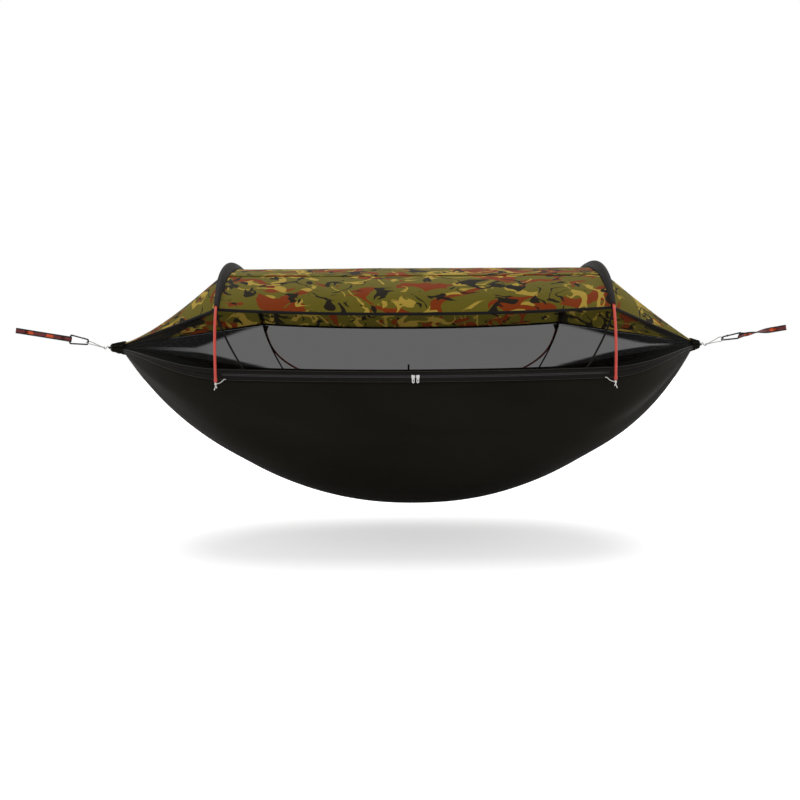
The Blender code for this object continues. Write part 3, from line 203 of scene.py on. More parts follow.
def makeBlotchGroup():
    # one colour of a woodland pattern: ragged blots where Branch is 0, tapering branches where it is 1
    inputs = {"Vector": None, "Offset": (0, 0, 0), "Scale": 10.0, "Level": 0.55, "Spread": 0.5, "Branch": 0.0}
    group, given, out = newGroup("woodlandBlots", inputs, ("Mask",))
    place = addVectorMath(group, "MULTIPLY_ADD", given["Vector"], (0.62, 1.0, 1.0), given["Offset"])
    bend = addNode(group, "TexNoise", {"Vector": place, "Scale": given["Scale"], "Detail": 1.0})
    warped = addVectorMath(group, "MULTIPLY_ADD", bend.outputs["Color"], (0.05, 0.05, 0.05), place)
    blot = addNoise(group, warped, given["Scale"], 2.4, 0.9, 0.46)
    excess = addMath(group, "SUBTRACT", blot, given["Level"])
    vein = addNoise(group, warped, addMath(group, "MULTIPLY", given["Scale"], 0.8), 0.6, 1.4)
    away = addMath(group, "ABSOLUTE", addMath(group, "SUBTRACT", vein, 0.5))
    inside = addMath(group, "SUBTRACT", addMath(group, "MULTIPLY", excess, given["Spread"]),
                     addMath(group, "MULTIPLY", away, given["Branch"]))
    feed(group, out["Mask"], addClamp(group, addMath(group, "MULTIPLY_ADD", inside, 220.0, 0.5)))
    return group


def makeWearGroup():
    # small scratches and handling marks for metal, plastic and paint
    group, given, out = newGroup("wear", {"Vector": None, "Scale": 60.0, "Low": 0.25, "High": 0.45},
                                 ("Roughness", "Mark", "Height"))
    patch = addNoise(group, given["Vector"], given["Scale"], 4.0, 0.4)
    span = addMath(group, "SUBTRACT", given["High"], given["Low"])
    feed(group, out["Roughness"], addMath(group, "MULTIPLY_ADD", patch, span, given["Low"]))
    fine = addNoise(group, given["Vector"], addMath(group, "MULTIPLY", given["Scale"], 8.0))
    marks = addMath(group, "MULTIPLY", addMath(group, "SUBTRACT", fine, 0.64), 12.0)
    feed(group, out["Mark"], addClamp(group, marks))
    feed(group, out["Height"], fine)
    return group


def makeBraidGroup():
    # a round cord's braid: crossing ridges along and round it
    group, given, out = newGroup("braid", {"Vector": None, "Pitch": 900.0, "Round": 6.0}, ("Height",))
    split = addSplit(group, given["Vector"])
    along = addMath(group, "MULTIPLY", split["X"], given["Pitch"])
    around = addMath(group, "MULTIPLY", addMath(group, "MULTIPLY", split["Y"], given["Round"]), math.tau)
    ridges = [addMath(group, "SINE", addMath(group, way, along, around)) for way in ("ADD", "SUBTRACT")]
    feed(group, out["Height"], addMath(group, "MAXIMUM", *ridges))
    return group


groups = {
    "weave": makeWeaveGroup(),
    "wrinkles": makeWrinkleGroup(),
    "blots": makeBlotchGroup(),
    "wear": makeWearGroup(),
    "braid": makeBraidGroup(),
}


def useGroup(tree, name, vector, **values):
    return addNode(tree, "Group", {"Vector": vector, **values}, node_tree=groups[name]).outputs


# Materials

def newMaterial(name, colour, roughness, metallic=0.0, gloss=0.5):
    material = bpy.data.materials.new(name)
    material.use_nodes = True
    tree = material.node_tree
    shader = tree.nodes["Principled BSDF"]
    for label, value in (("Base Color", colour), ("Roughness", roughness), ("Metallic", metallic),
                         ("Specular IOR Level", gloss)):
        feed(tree, shader.inputs[label], value)
    place = addNode(tree, "TexCoord").outputs["Object"]
    return material, tree, shader, place, addNode(tree, "UVMap", uv_map="cloth").outputs[0]


def addBump(tree, shader, height, distance, strength=1.0, below=None):
    values = {"Distance": distance, "Strength": strength, "Height": height, "Normal": below}
    bump = addNode(tree, "Bump", values)
    feed(tree, shader.inputs["Normal"], bump.outputs[0])
    return bump.outputs[0]


def makeCloth(name, colour, roughness, threads, wrinkle, scale, gloss):
    material, tree, shader, place, flat = newMaterial(name, colour, roughness, 0.0, gloss)
    creases = useGroup(tree, "wrinkles", place, Scale=scale)
    weave = useGroup(tree, "weave", flat, Threads=threads)
    soft = addBump(tree, shader, creases["Height"], wrinkle)
    addBump(tree, shader, weave["Height"], 0.00015, 0.5, soft)
    return material, tree, shader, flat, creases["FoldShade"], weave["Hole"]


def makeFabric(name, colour, light, roughness, threads=900.0, wrinkle=0.0012, scale=7.0, gloss=0.08,
               mesh=0.0):
    # mesh is how much darker the holes of an open weave look, or, below zero, how much lighter they look, which
    # paints highlight dots on the weave
    material, tree, shader, _, foldShade, hole = makeCloth(name, colour, roughness, threads, wrinkle, scale, gloss)
    # painted fold shading: towards the light colour on the crease crests, towards the base colour in the
    # troughs
    colour = addMixColour(tree, foldShade, colour, light)
    if mesh:
        colour = addMixColour(tree, 1.0, colour, addMath(tree, "MULTIPLY_ADD", hole, -mesh, 1.0), "MULTIPLY")
    feed(tree, shader.inputs["Base Color"], colour)
    return material


def makeCamouflage():
    # printed on the flat cloth, with painted fold shading over the print; thin nylon, so some light comes
    # through
    brown, tan, dark = (144, 62, 22), (196, 166, 70), (42, 36, 26)
    finish = {
        "olive": (118, 108, 36),
        "through": 0.42,
        "layers": (
            (brown, {"Offset": (3.1, 7.7, 0.0), "Level": 0.545, "Scale": 13.0}),
            (tan, {"Offset": (11.2, 2.4, 0.0), "Level": 0.435, "Scale": 14.5, "Spread": 0.36, "Branch": 1.0}),
            (dark, {"Offset": (6.4, 9.1, 0.0), "Level": 0.455, "Scale": 17.0, "Spread": 0.40, "Branch": 1.0}),
        ),
    }
    colour = finish["olive"]
    material, tree, shader, flat, foldShade, _ = makeCloth("camouflageNylon", colour, 0.62, 900.0, 0.0020, 5.0, 0.08)
    for dye, values in finish["layers"]:
        colour = addMixColour(tree, useGroup(tree, "blots", flat, **values)["Mask"], colour, dye)
    # painted fold shading over the print: the colour is darker in the crease troughs and lighter on the crests
    printedAndShaded = addMixColour(tree, 1.0, colour, addMath(tree, "MULTIPLY_ADD", foldShade, 0.30, 0.86), "MULTIPLY")
    feed(tree, shader.inputs["Base Color"], printedAndShaded)
    glow = addNode(tree, "BsdfTranslucent", {"Color": printedAndShaded})
    blend = addNode(tree, "MixShader", {0: finish["through"], 1: shader.outputs[0], 2: glow.outputs[0]})
    feed(tree, tree.nodes["Material Output"].inputs["Surface"], blend.outputs[0])
    return material


def makeNet(name, colour, solid, threads):
    # black netting: more thread than hole; the "gather" map says where folds close it up
    material, tree, shader, _, flat = newMaterial(name, colour, 0.9, gloss=0.02)
    hole = useGroup(tree, "weave", flat, Threads=threads)["Hole"]
    gather = addSplit(tree, addNode(tree, "UVMap", uv_map="gather").outputs[0])["X"]
    mesh = addMath(tree, "MULTIPLY_ADD", hole, -0.10, solid + 0.025)
    closed = addMath(tree, "MULTIPLY_ADD", addMath(tree, "SUBTRACT", 1.0, mesh), gather, mesh)
    feed(tree, shader.inputs["Alpha"], addClamp(tree, closed))
    return material


def makeMetal(name, colour, worn, low, high, metallic=1.0, scale=60.0):
    material, tree, shader, place, _ = newMaterial(name, colour, (low + high) / 2, metallic)
    wear = useGroup(tree, "wear", place, Scale=scale, Low=low, High=high)
    feed(tree, shader.inputs["Base Color"], addMixColour(tree, wear["Mark"], colour, worn))
    feed(tree, shader.inputs["Roughness"], wear["Roughness"])
    addBump(tree, shader, wear["Height"], 0.00005)
    return material


def makeCord(name, colour, light, roughness, pitch, around, depth):
    material, tree, shader, _, flat = newMaterial(name, colour, roughness)
    braid = useGroup(tree, "braid", flat, Pitch=pitch, Round=around)["Height"]
    # painted shade in the braid: the ridges take the light colour, the grooves the darker base colour
    feed(tree, shader.inputs["Base Color"], addMixColour(tree, braid, colour, light))
    addBump(tree, shader, braid, depth)
    return material


def makeWebbing():
    # black edges, a maroon twill middle and pairs of orange blocks along it
    finish = {
        "edge": (16, 12, 13),
        "middle": (118, 36, 34),
        "block": (232, 84, 22),
        "blockStarts": (0.070, 0.144),
        "blockLength": 0.025,
        "pitch": 0.200,
        "edgeShare": 0.50,
    }
    material, tree, shader, _, flat = newMaterial("strapWebbing", finish["middle"], 0.75)
    split = addSplit(tree, flat)
    across = addMath(tree, "ABSOLUTE", split["Y"])
    edge = addMath(tree, "GREATER_THAN", across, finish["edgeShare"])
    blocks = []
    for start in finish["blockStarts"]:
        along = addMath(tree, "DIVIDE", addMath(tree, "SUBTRACT", split["X"], start), finish["pitch"])
        part = addMath(tree, "FRACT", along)
        blocks.append(addMath(tree, "LESS_THAN", part, finish["blockLength"] / finish["pitch"]))
    threads, slant = addMath(tree, "MULTIPLY", split["X"], 2400.0), addMath(tree, "MULTIPLY", across, 18.0)
    twill = addMath(tree, "SINE", addMath(tree, "ADD", threads, slant))
    colour = addMixColour(tree, addMath(tree, "MAXIMUM", *blocks), finish["middle"], finish["block"])
    colour = addMixColour(tree, edge, colour, finish["edge"])
    # painted shade along the twill: the colour darkens in the grooves of the same wave that makes the bump
    colour = addMixColour(tree, 1.0, colour, addMath(tree, "MULTIPLY_ADD", twill, 0.22, 0.78), "MULTIPLY")
    feed(tree, shader.inputs["Base Color"], colour)
    addBump(tree, shader, twill, 0.0002)
    return material


materials = {
    "bed": makeFabric("bedNylon", (12, 11, 8), (31, 28, 22), 0.66, wrinkle=0.0030, scale=5.0, gloss=0.04),
    "binding": makeFabric("blackBinding", (18, 16, 15), (30, 28, 26), 0.75, 1500.0, 0.0005, 20.0),
    # the hem piping is lighter than the black binding: a painted highlight along the hem's folded edge
    "pipingHighlight": makeFabric("hemPipingHighlight", (40, 40, 36), (52, 52, 47), 0.55, 1500.0, 0.0003, 20.0),
    "camouflage": makeCamouflage(),
    "net": makeNet("insectNet", (12, 12, 11), 0.655, 700.0),
    # the sleeve mesh's lighter holes (mesh below zero) are painted highlight dots
    "sleeve": makeFabric("sleeveMesh", (22, 21, 20), (34, 32, 31), 0.75, 240.0, 0.0010, 14.0, mesh=-3.5),
    "webbing": makeWebbing(),
    "pole": makeMetal("polePaint", (196, 62, 48), (214, 110, 98), 0.22, 0.38, 0.0, 40.0),
    "alloy": makeMetal("alloy", (186, 186, 188), (215, 215, 216), 0.25, 0.42),
    "gunmetal": makeMetal("gunmetal", (46, 48, 50), (92, 94, 96), 0.26, 0.46, 0.9),
    "steel": makeMetal("steel", (150, 150, 148), (196, 196, 194), 0.2, 0.4),
    "silverCord": makeCord("silverCord", (120, 120, 116), (206, 206, 200), 0.55, 2400.0, 4.0, 0.0003),
    "elastic": makeCord("whiteElastic", (206, 204, 198), (244, 243, 240), 0.7, 3000.0, 4.0, 0.0002),
    "rope": makeCord("blackRope", (16, 15, 14), (44, 42, 40), 0.7, 1400.0, 3.0, 0.0004),
    "zip": makeMetal("zipPlastic", (30, 30, 29), (58, 58, 56), 0.35, 0.55, 0.0, 90.0),
    "slider": makeMetal("sliderEnamel", (226, 226, 224), (198, 198, 196), 0.25, 0.42, 0.0, 90.0),
    "thread": makeFabric("sewingThread", (36, 34, 31), (50, 48, 44), 0.65, wrinkle=0.0001),
}
print("materials made")


# Mesh helpers. Points are in the layout's frame and move to the part's frame here.

def toPart(point):
    return point + middle


def meshFrom(build, name):
    mesh = bpy.data.meshes.new(name)
    build.to_mesh(mesh)
    build.free()
    return mesh


def meshOf(name, points, faces):
    mesh = bpy.data.meshes.new(name)
    mesh.from_pydata([tuple(point) for point in points], [], faces)
    return mesh


def addObject(name, data):
    thing = bpy.data.objects.new(name, data)
    scene.collection.objects.link(thing)
    return thing


def addPiece(name, mesh, finish, *nodes, body="hammock", slot=None, sharp=None):
    piece = addObject(name, mesh)
    mesh.materials.append(materials[finish])
    mesh.shade_smooth()
    if sharp:
        mesh.set_sharp_from_angle(angle=math.radians(sharp))
    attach(piece, body)
    if nodes:
        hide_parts(*nodes)
    return piece


def addSheet(name, rows, finish, thickness, *nodes, body="hammock", across=None, printFrom=0.0):
    # a grid of points as quads, with the cloth's flat coordinates in metres
    height, width = len(rows), len(rows[0])
    mesh = meshOf(name, [toPart(point) for row in rows for point in row],
                  [(i * width + j, i * width + j + 1, (i + 1) * width + j + 1, (i + 1) * width + j)
                   for i in range(height - 1) for j in range(width - 1)])
    runX = runs(rows[height // 2])
    runY = across or runs([row[width // 2] for row in rows])
    layer = mesh.uv_layers.new(name="cloth")
    for loop in mesh.loops:
        row, column = divmod(loop.vertex_index, width)
        layer.data[loop.index].uv = (printFrom + runX[column], runY[row])
    mesh.validate()
    piece = addPiece(name, mesh, finish, *nodes, body=body)
    if thickness:
        wall = piece.modifiers.new("wall", "SOLIDIFY")
        wall.thickness, wall.offset, wall.use_even_offset = thickness, 0.0, False
    return piece


def sheetSize(rows, column=None):
    # the cloth's cut: along its middle row, and across at a column or in the middle
    column = len(rows[0]) // 2 if column is None else column
    return runs(rows[len(rows) // 2])[-1], runs([row[column] for row in rows])[-1]


def sheetArea(rows):
    total = 0.0
    for low, high in zip(rows, rows[1:]):
        for a, b, c, d in zip(low, low[1:], high[1:], high):
            total += ((b - a).cross(c - a).length + (c - a).cross(d - a).length) / 2
    return total


def printSize(label, size):
    print(label, [round(value, 3) for value in size])


def tubeInto(build, points, radius, sides=12, closed=False, layer=None):
    # a round tube along points; radius is one number, or one for each point
    count = len(points)
    radii = radius if isinstance(radius, list) else [radius] * count
    along, rings, across = runs(points), [], None
    for index, point in enumerate(points):
        before = points[index - 1] if index or closed else point
        after = points[(index + 1) % count] if index < count - 1 or closed else point
        tangent = (after - before).normalized()
        if across is None:
            across = tangent.orthogonal()
        across = (across - tangent * across.dot(tangent)).normalized()
        outward = tangent.cross(across)
        rings.append([build.verts.new(toPart(point + (across * x + outward * y) * radii[index]))
                      for x, y in arc(1.0, 0.0, math.tau, sides)[:-1]])
    pairs = [(index, index + 1, 0) for index in range(count - 1)]
    if closed:
        shift = min(range(sides), key=lambda k: (rings[0][k].co - rings[-1][0].co).length)
        pairs.append((count - 1, 0, shift))
        along.append(along[-1] + (points[0] - points[-1]).length)
    for first, second, shift in pairs:
        for step in range(sides):
            following = (step + 1) % sides
            face = build.faces.new((rings[first][step], rings[first][following],
                                    rings[second][(following + shift) % sides],
                                    rings[second][(step + shift) % sides]))
            if layer is not None:
                near, far = along[first], along[first + 1]
                for loop, place, turn in zip(face.loops, (near, near, far, far), (0, 1, 1, 0)):
                    loop[layer].uv = (place, (step + turn) / sides)
    if not closed:
        build.faces.new(list(reversed(rings[0])))
        build.faces.new(rings[-1])


def tubeMesh(name, routes, radius, sides=12, closed=False):
    build = bmesh.new()
    layer = build.loops.layers.uv.new("cloth")
    for points in routes:
        tubeInto(build, points, radius, sides, closed, layer)
    return meshFrom(build, name)


def curveThrough(points, steps):
    # a smooth line through points
    line = []
    for index in range(len(points) - 1):
        b, c = points[index], points[index + 1]
        a = points[index - 1] if index else b * 2 - c
        d = points[index + 2] if index + 2 < len(points) else c * 2 - b
        for t in shares(steps)[:-1]:
            line.append(((b * 2) + (c - a) * t + (a * 2 - b * 5 + c * 4 - d) * t ** 2
                         + (b * 3 - a - c * 3 + d) * t ** 3) / 2)
    return line + [points[-1]]


def boxInto(build, low, high, matrix=None, bevel=0.0):
    centre, size = (Vector(low) + Vector(high)) / 2, Vector(high) - Vector(low)
    place = Matrix.Translation(centre) @ Matrix.Diagonal((*size, 1))
    made = bmesh.ops.create_cube(build, size=1, matrix=place)
    if bevel:
        made = bevelInto(build, made["verts"], bevel, 2)
    if matrix is not None:
        bmesh.ops.transform(build, matrix=matrix, verts=list(made["verts"]))


def bevelInto(build, verts, offset, segments):
    edges = list(dict.fromkeys(edge for vertex in verts for edge in vertex.link_edges))
    return bmesh.ops.bevel(build, geom=edges, offset=offset, segments=segments, affect="EDGES", profile=0.6)


def stitchRow(build, pointAt, count, length=0.7, radius=0.00032):
    # one row of stitches: short threads that dip at both ends
    half = length / 2 / count
    for step in range(count):
        place = (step + 0.5) / count
        tubeInto(build, [pointAt(place - half), pointAt(place), pointAt(place + half)],
                 [radius * 0.4, radius, radius * 0.4], 5)


# The bed's edge, which the zip and the far hem follow

edgeLine = {
    "halfWidth": 0.430,
    "height": -0.1065,
    "arcRadius": 9.0,
    "halfLength": 0.60,
    "tilt": math.radians(28),
    "endHalfWidth": 0.026,
    "endHeight": -0.011,
    "pinch": -3.6,
    "climb": 0.10,
    "endShare": 0.25,
}
tapes = {
    "height": 0.0117,
    "slit": 0.0014,
    "toothRadius": 0.0016,
    "thickness": 0.0012,
    "bulge": 0.0004,
    "pipingRadius": 0.0011,
}
edgeLean, edgeRise = math.cos(edgeLine["tilt"]), math.sin(edgeLine["tilt"])
tapeInner = tapes["slit"] / 2 + 2 * tapes["toothRadius"] + layout["seamGap"]
tapeOuter = tapeInner + tapes["height"]


def endPlace(side):
    return side * (halfTips - layout["channel"][side])


def endRun(side):
    return abs(endPlace(side) - archOffset)


def zipDrop(distance):
    return edgeLine["arcRadius"] - math.sqrt(edgeLine["arcRadius"] ** 2 - distance ** 2)


def bedEdge(x):
    side, distance = sideOf(x), abs(x - archOffset)
    drop = zipDrop(min(distance, edgeLine["halfLength"]))
    width, height = edgeLine["halfWidth"] - drop * edgeLean, edgeLine["height"] + drop * edgeRise
    if distance <= edgeLine["halfLength"]:
        return width, height
    run = endRun(side) - edgeLine["halfLength"]
    share = (distance - edgeLine["halfLength"]) / run
    slope = edgeLine["halfLength"] / edgeLine["arcRadius"] * run
    return (ease(width, -slope * edgeLean, edgeLine["endHalfWidth"],
                 edgeLine["pinch"] * edgeLine["halfWidth"] * run, share),
            ease(height, slope * edgeRise, edgeLine["endHeight"], edgeLine["climb"] * run, share))


def narrowing(x):
    share = (abs(x - archOffset) - edgeLine["halfLength"]) / (endRun(sideOf(x)) - edgeLine["halfLength"])
    return mix(1.0, edgeLine["endShare"], smooth(share))


def wallPoint(x, depth, rise, out=0.0):
    width, height = bedEdge(x)
    return Vector((x, depth * (width + out), height + rise * narrowing(x)))


def edgeStations(count, crowding=1.3):
    half = count // 2
    steps = [(left, step) for step in range(half, 0, -1)] + [(right, step) for step in range(half + 1)]
    return [archOffset + side * endRun(side) * (1 - (1 - step / half) ** crowding) for side, step in steps]


# Bed

bed = {
    "bottom": -0.576,
    "endHeight": -0.021,
    "power": {left: 2.17, right: 2.25},
    "folds": 5,
    "foldDepth": {left: 0.010, right: 0.016},
    "foldStart": 0.45,
    "creases": ((11, 0.0030, 0.7), (17, 0.0022, 2.1), (26, 0.0014, 4.0)),   # waves, depth, phase
    "gatherStart": 0.25,
    "thickness": 0.0009,
    "stations": 180,
    "rows": 96,
    "flat": (2.60, 1.40),
}


def bedPoint(x, angle):
    side = sideOf(x)
    share = abs(x - archOffset) / endRun(side)
    width = bedEdge(x)[0]
    top = wallPoint(x, back, -tapeOuter - layout["seamGap"] / narrowing(x)).z
    belly = mix(bed["bottom"], bed["endHeight"], min(1.0, share) ** bed["power"][side])
    window = max(0.0, (share - bed["foldStart"]) / (1 - bed["foldStart"]))
    hump = 27 / 4 * window ** 2 * (1 - window) * math.cos(angle)
    ripple = hump * bed["foldDepth"][side] * math.cos(2 * bed["folds"] * angle)
    gather = clamp((share - bed["gatherStart"]) / (1 - bed["gatherStart"])) ** 1.5 * smooth((1 - share) * 9)
    for waves, depth, phase in bed["creases"]:
        drift = 0.6 * noise.noise(Vector((x * 2.5, phase, side)))
        ripple += gather * math.cos(angle) * depth * math.sin(waves * angle + phase * side + drift)
    return Vector((x, (width + ripple) * math.sin(angle), top - (top - belly + ripple) * math.cos(angle)))


def makeBed():
    stations = edgeStations(bed["stations"])
    rows = [[bedPoint(x, angle) for x in stations] for angle in shares(bed["rows"], -math.pi / 2, math.pi / 2)]
    piece = addSheet("hammockBed", rows, "bed", bed["thickness"], "hammock_bed")
    printSize("bed cloth", (*sheetSize(rows), sheetArea(rows)))


# Zip, tapes and hems

zipTeeth = {
    "pitch": 0.0030,
    "width": 0.0019,
    "depth": 0.0030,
    "reach": 0.0031,
    "inset": 0.00045,      # from the slit's middle
    "endGap": 0.005,
    "cordRadius": 0.0007,
}


def zipArcPoint(distance, rise):
    drop = zipDrop(distance)
    return Vector((archOffset + distance, -edgeLine["halfWidth"] + drop * edgeLean,
                   edgeLine["height"] + drop * edgeRise + rise))


def zipFrame(distance):
    # a place on the zip's arc, turned along it
    turn = math.asin(distance / edgeLine["arcRadius"])
    return (Matrix.Translation(toPart(zipArcPoint(distance, 0)))
            @ Matrix.Rotation(turn, 4, Vector((0, -edgeRise, edgeLean))))


def makeTeeth(name, level, node):
    build = bmesh.new()
    reach = edgeLine["halfLength"] - zipTeeth["endGap"]
    inner, outer = zipTeeth["inset"], zipTeeth["inset"] + zipTeeth["reach"]
    low, high = sorted((level * inner, level * outer))
    half, deep = zipTeeth["width"] / 2, zipTeeth["depth"] / 2
    for step in range(int(2 * reach / zipTeeth["pitch"])):
        distance = -reach + (step + (0.25 if level > 0 else 0.75)) * zipTeeth["pitch"]
        boxInto(build, (-half, -deep, low), (half, deep, high), zipFrame(distance))
    tubeInto(build, [zipArcPoint(distance, level * (outer - 0.0006)) for distance in shares(60, -reach, reach)],
             zipTeeth["cordRadius"], 8)
    addPiece(name, meshFrom(build, name), "zip", node, sharp=35)


def makeZip():
    stations = edgeStations(180)
    for name, node, depth, low, high, steps in (
            ("zipTapeLower", "zip_tape_lower", front, -tapeOuter, -zipTeeth["inset"], 2),
            ("zipTapeUpper", "zip_tape_upper", front, zipTeeth["inset"], tapeOuter, 2),
            ("bedHemBack", "bed_hem_back", back, -tapeOuter, tapeOuter, 3)):
        rows = [[wallPoint(x, depth, mix(low, high, share), tapes["bulge"] * math.sin(math.pi * share))
                 for x in stations] for share in shares(steps)]
        addSheet(name, rows, "binding", tapes["thickness"], node)
    makeTeeth("zipTeethLower", -1, "zip_teeth_lower")
    makeTeeth("zipTeethUpper", 1, "zip_teeth_upper")
    # a thin tube at each tape edge, in a lighter colour that paints the highlight along the hem's fold
    pipes = [[wallPoint(x, depth, rise, tapes["pipingRadius"]) for x in edgeStations(260)]
             for depth in (front, back) for rise in (-tapeOuter, tapeOuter)]
    addPiece("edgePipingHighlight", tubeMesh("edgePipingHighlight", pipes, tapes["pipingRadius"], 8), "pipingHighlight")
    build = bmesh.new()
    start, end = endPlace(left) + 0.03, endPlace(right) - 0.03
    for depth, rise in ((front, -tapeOuter + 0.003), (front, -tapeInner - 0.002), (front, tapeInner + 0.002),
                        (front, tapeOuter - 0.003), (back, 0.010), (back, -0.010)):
        stitchRow(build, lambda share: wallPoint(mix(start, end, share), depth, rise, 0.0009), 360)
    addPiece("tapeStitches", meshFrom(build, "tapeStitches"), "thread")


slider = {
    "length": 0.0110,
    "height": 0.0110,
    "plate": 0.0014,
    "shoulder": 0.72,      # how far the plates narrow behind their mouth
    "spacing": 0.0140,
    "web": 0.0050,
    "toothGap": 0.00045,
    "runningGap": 0.00035,
    "pinRadius": 0.0009,
    "eyeWall": 0.0010,
    "eyeLength": 0.0036,
    "post": 0.0012,
    "pullLength": 0.0200,
    "pullWidth": 0.0080,
    "pullThickness": 0.0014,
    "slotHalf": 0.0013,
    "slotTop": -0.0090,
    "slotBottom": -0.0160,
}
sliderFace = tapes["toothRadius"] + slider["toothGap"]
sliderOut = sliderFace + slider["plate"]
pullEyeBore = slider["pinRadius"] + slider["runningGap"]
pullEyeRadius = pullEyeBore + slider["eyeWall"]
pullPinOut = sliderOut + pullEyeRadius + slider["runningGap"]


def makeSlider(side):
    name = sideNames[side]
    build = bmesh.new()
    place = zipFrame(side * slider["spacing"] / 2)
    for low, high in ((-sliderOut, -sliderFace), (sliderFace, sliderOut)):
        made = bmesh.ops.create_cube(build, size=1)
        for vertex in made["verts"]:
            x, y, z = vertex.co
            vertex.co = (x * slider["length"], mix(low, high, y + 0.5),
                         z * slider["height"] * (1.0 if x * side > 0 else slider["shoulder"]))
        bevelInto(build, made["verts"], 0.0005, 3)
    web = tapes["slit"] / 2 - slider["runningGap"]
    boxInto(build, (-slider["web"] / 2, -sliderFace, -web), (slider["web"] / 2, sliderFace, web))
    postIn, pin = slider["eyeLength"] / 2 + slider["runningGap"], slider["pinRadius"]
    for postSide in (left, right):
        near, far = sorted((postSide * postIn, postSide * (postIn + slider["post"])))
        boxInto(build, (near, -pullPinOut - pin, -pin), (far, -sliderOut + 0.0002, pin), None, 0.0003)
    bmesh.ops.create_cone(build, cap_ends=True, segments=16, radius1=pin * 0.95, radius2=pin * 0.95,
                          depth=2 * postIn + slider["post"],
                          matrix=Matrix.Translation((0, -pullPinOut, 0)) @ Matrix.Rotation(math.pi / 2, 4, "Y"))
    bmesh.ops.transform(build, matrix=place, verts=build.verts)
    addPiece(f"zipSlider_{name}", meshFrom(build, name), "slider", f"zip_slider_{name}", body=f"slider_{name}",
             sharp=40)

    build = bmesh.new()
    width, neck = slider["pullWidth"] / 2, slider["eyeLength"] / 2
    shoulder = [(neck, -pullEyeRadius * 0.8), (neck, -pullEyeRadius - 0.0012), (width, -pullEyeRadius - 0.0042)]
    foot = arc(width, math.pi, math.tau, 8, (0, width - slider["pullLength"]))
    outline = [(-x, z) for x, z in shoulder] + foot + shoulder[::-1]
    slot = (arc(slider["slotHalf"], 0.0, math.pi, 8, (0, slider["slotTop"]))
            + arc(slider["slotHalf"], math.pi, math.tau, 8, (0, slider["slotBottom"])))
    edges = []
    for ring in (outline, slot):
        verts = [build.verts.new((x, -slider["pullThickness"] / 2, z)) for x, z in ring]
        edges += [build.edges.new(pair) for pair in zip(verts, verts[1:] + verts[:1])]
    plate = bmesh.ops.triangle_fill(build, edges=edges, use_beauty=True)["geom"]
    faces = [item for item in plate if isinstance(item, bmesh.types.BMFace)]
    solid = bmesh.ops.extrude_face_region(build, geom=faces)["geom"]
    moved = [item for item in solid if isinstance(item, bmesh.types.BMVert)]
    bmesh.ops.translate(build, vec=(0, slider["pullThickness"], 0), verts=moved)
    bmesh.ops.recalc_face_normals(build, faces=build.faces)
    corners = [edge for edge in build.edges if len(edge.link_faces) == 2 and edge.calc_face_angle() > 1.2]
    bmesh.ops.bevel(build, geom=corners, offset=0.0003, segments=2, affect="EDGES", profile=0.6)
    loops = [[build.verts.new((x, y, z)) for z, y in arc(radius, 0.0, math.tau, 24)[:-1]]
             for radius in (pullEyeBore, pullEyeRadius) for x in (-neck, neck)]
    for first, second in ((0, 1), (1, 3), (3, 2), (2, 0)):
        for a, b, c, d in zip(loops[first], loops[first][1:] + loops[first][:1],
                              loops[second][1:] + loops[second][:1], loops[second]):
            build.faces.new((a, b, c, d))
    bmesh.ops.recalc_face_normals(build, faces=build.faces)
    bmesh.ops.transform(build, matrix=place @ Matrix.Translation((0, -pullPinOut, 0)), verts=build.verts)
    addPiece(f"zipPull_{name}", meshFrom(build, name), "slider", f"zip_pull_{name}", body=f"pull_{name}",
             sharp=40)


# Arch poles

arch = {
    "halfSpacing": 0.609,
    "lean": 0.033,
    "leanPower": 1.5,
    "halfSpan": 0.453,
    "footHeight": -0.1195,
    "rise": 0.4125,
    "squareness": 0.90,
    "drift": 0.135,
    "lift": 0.0265,
    "driftPower": 3.2,
    "radius": 0.00425,
    "joinGap": 0.0012,
    "ferruleRadius": 0.0064,
    "tipAngle": math.radians(1.6),
}
sleeve = {
    "endHeight": 0.115,
    "endDrop": 0.0100,
    "topDrop": 0.0180,
    "endWidth": 0.0150,
    "topWidth": 0.0580,
    "cutWidth": 0.085,
    "thickness": 0.0007,
    "slack": 0.0007,
    "swell": 1.2,
    "puff": 0.0012,
    "rows": 96,
}
sleeveAngle = math.asin((sleeve["endHeight"] - arch["footHeight"]) / arch["rise"])
archSteps = 480


def polePoint(angle, side):
    rise = max(0.0, math.sin(angle))
    reach = abs(math.cos(angle)) ** arch["squareness"] * arch["halfSpan"]
    slack = max(0.0, (angle - (math.pi - sleeveAngle)) / sleeveAngle)
    out = (arch["halfSpacing"] + arch["lean"] * rise ** arch["leanPower"]
           - arch["drift"] * slack ** arch["driftPower"])
    height = arch["footHeight"] + arch["rise"] * rise + arch["lift"] * slack ** 2
    return Vector((archOffset + side * out, -math.copysign(reach, math.cos(angle)), height))


def poleNormal(angle):
    step = math.radians(0.5)
    along = polePoint(min(math.pi, angle + step), right) - polePoint(max(0.0, angle - step), right)
    return Vector((0, -along.z, along.y)).normalized()


def evenAngles(first, last, count):
    # angles whose places on the pole are the same way apart
    angles = shares(archSteps, first, last)
    lengths = runs([polePoint(angle, right) for angle in angles])
    result, place = [], 0
    for step in range(count + 1):
        wanted = lengths[-1] * step / count
        while place < archSteps - 1 and lengths[place + 1] < wanted:
            place += 1
        part = (wanted - lengths[place]) / (lengths[place + 1] - lengths[place])
        result.append(mix(angles[place], angles[place + 1], part))
    return result


def between(line, share):
    # a value part of the way along a list
    place = clamp(share) * (len(line) - 1)
    index = min(len(line) - 2, int(place))
    return mix(line[index], line[index + 1], place - index)


archAngles = evenAngles(sleeveAngle, math.pi - sleeveAngle, archSteps)


def archAngle(share):
    return between(archAngles, share)


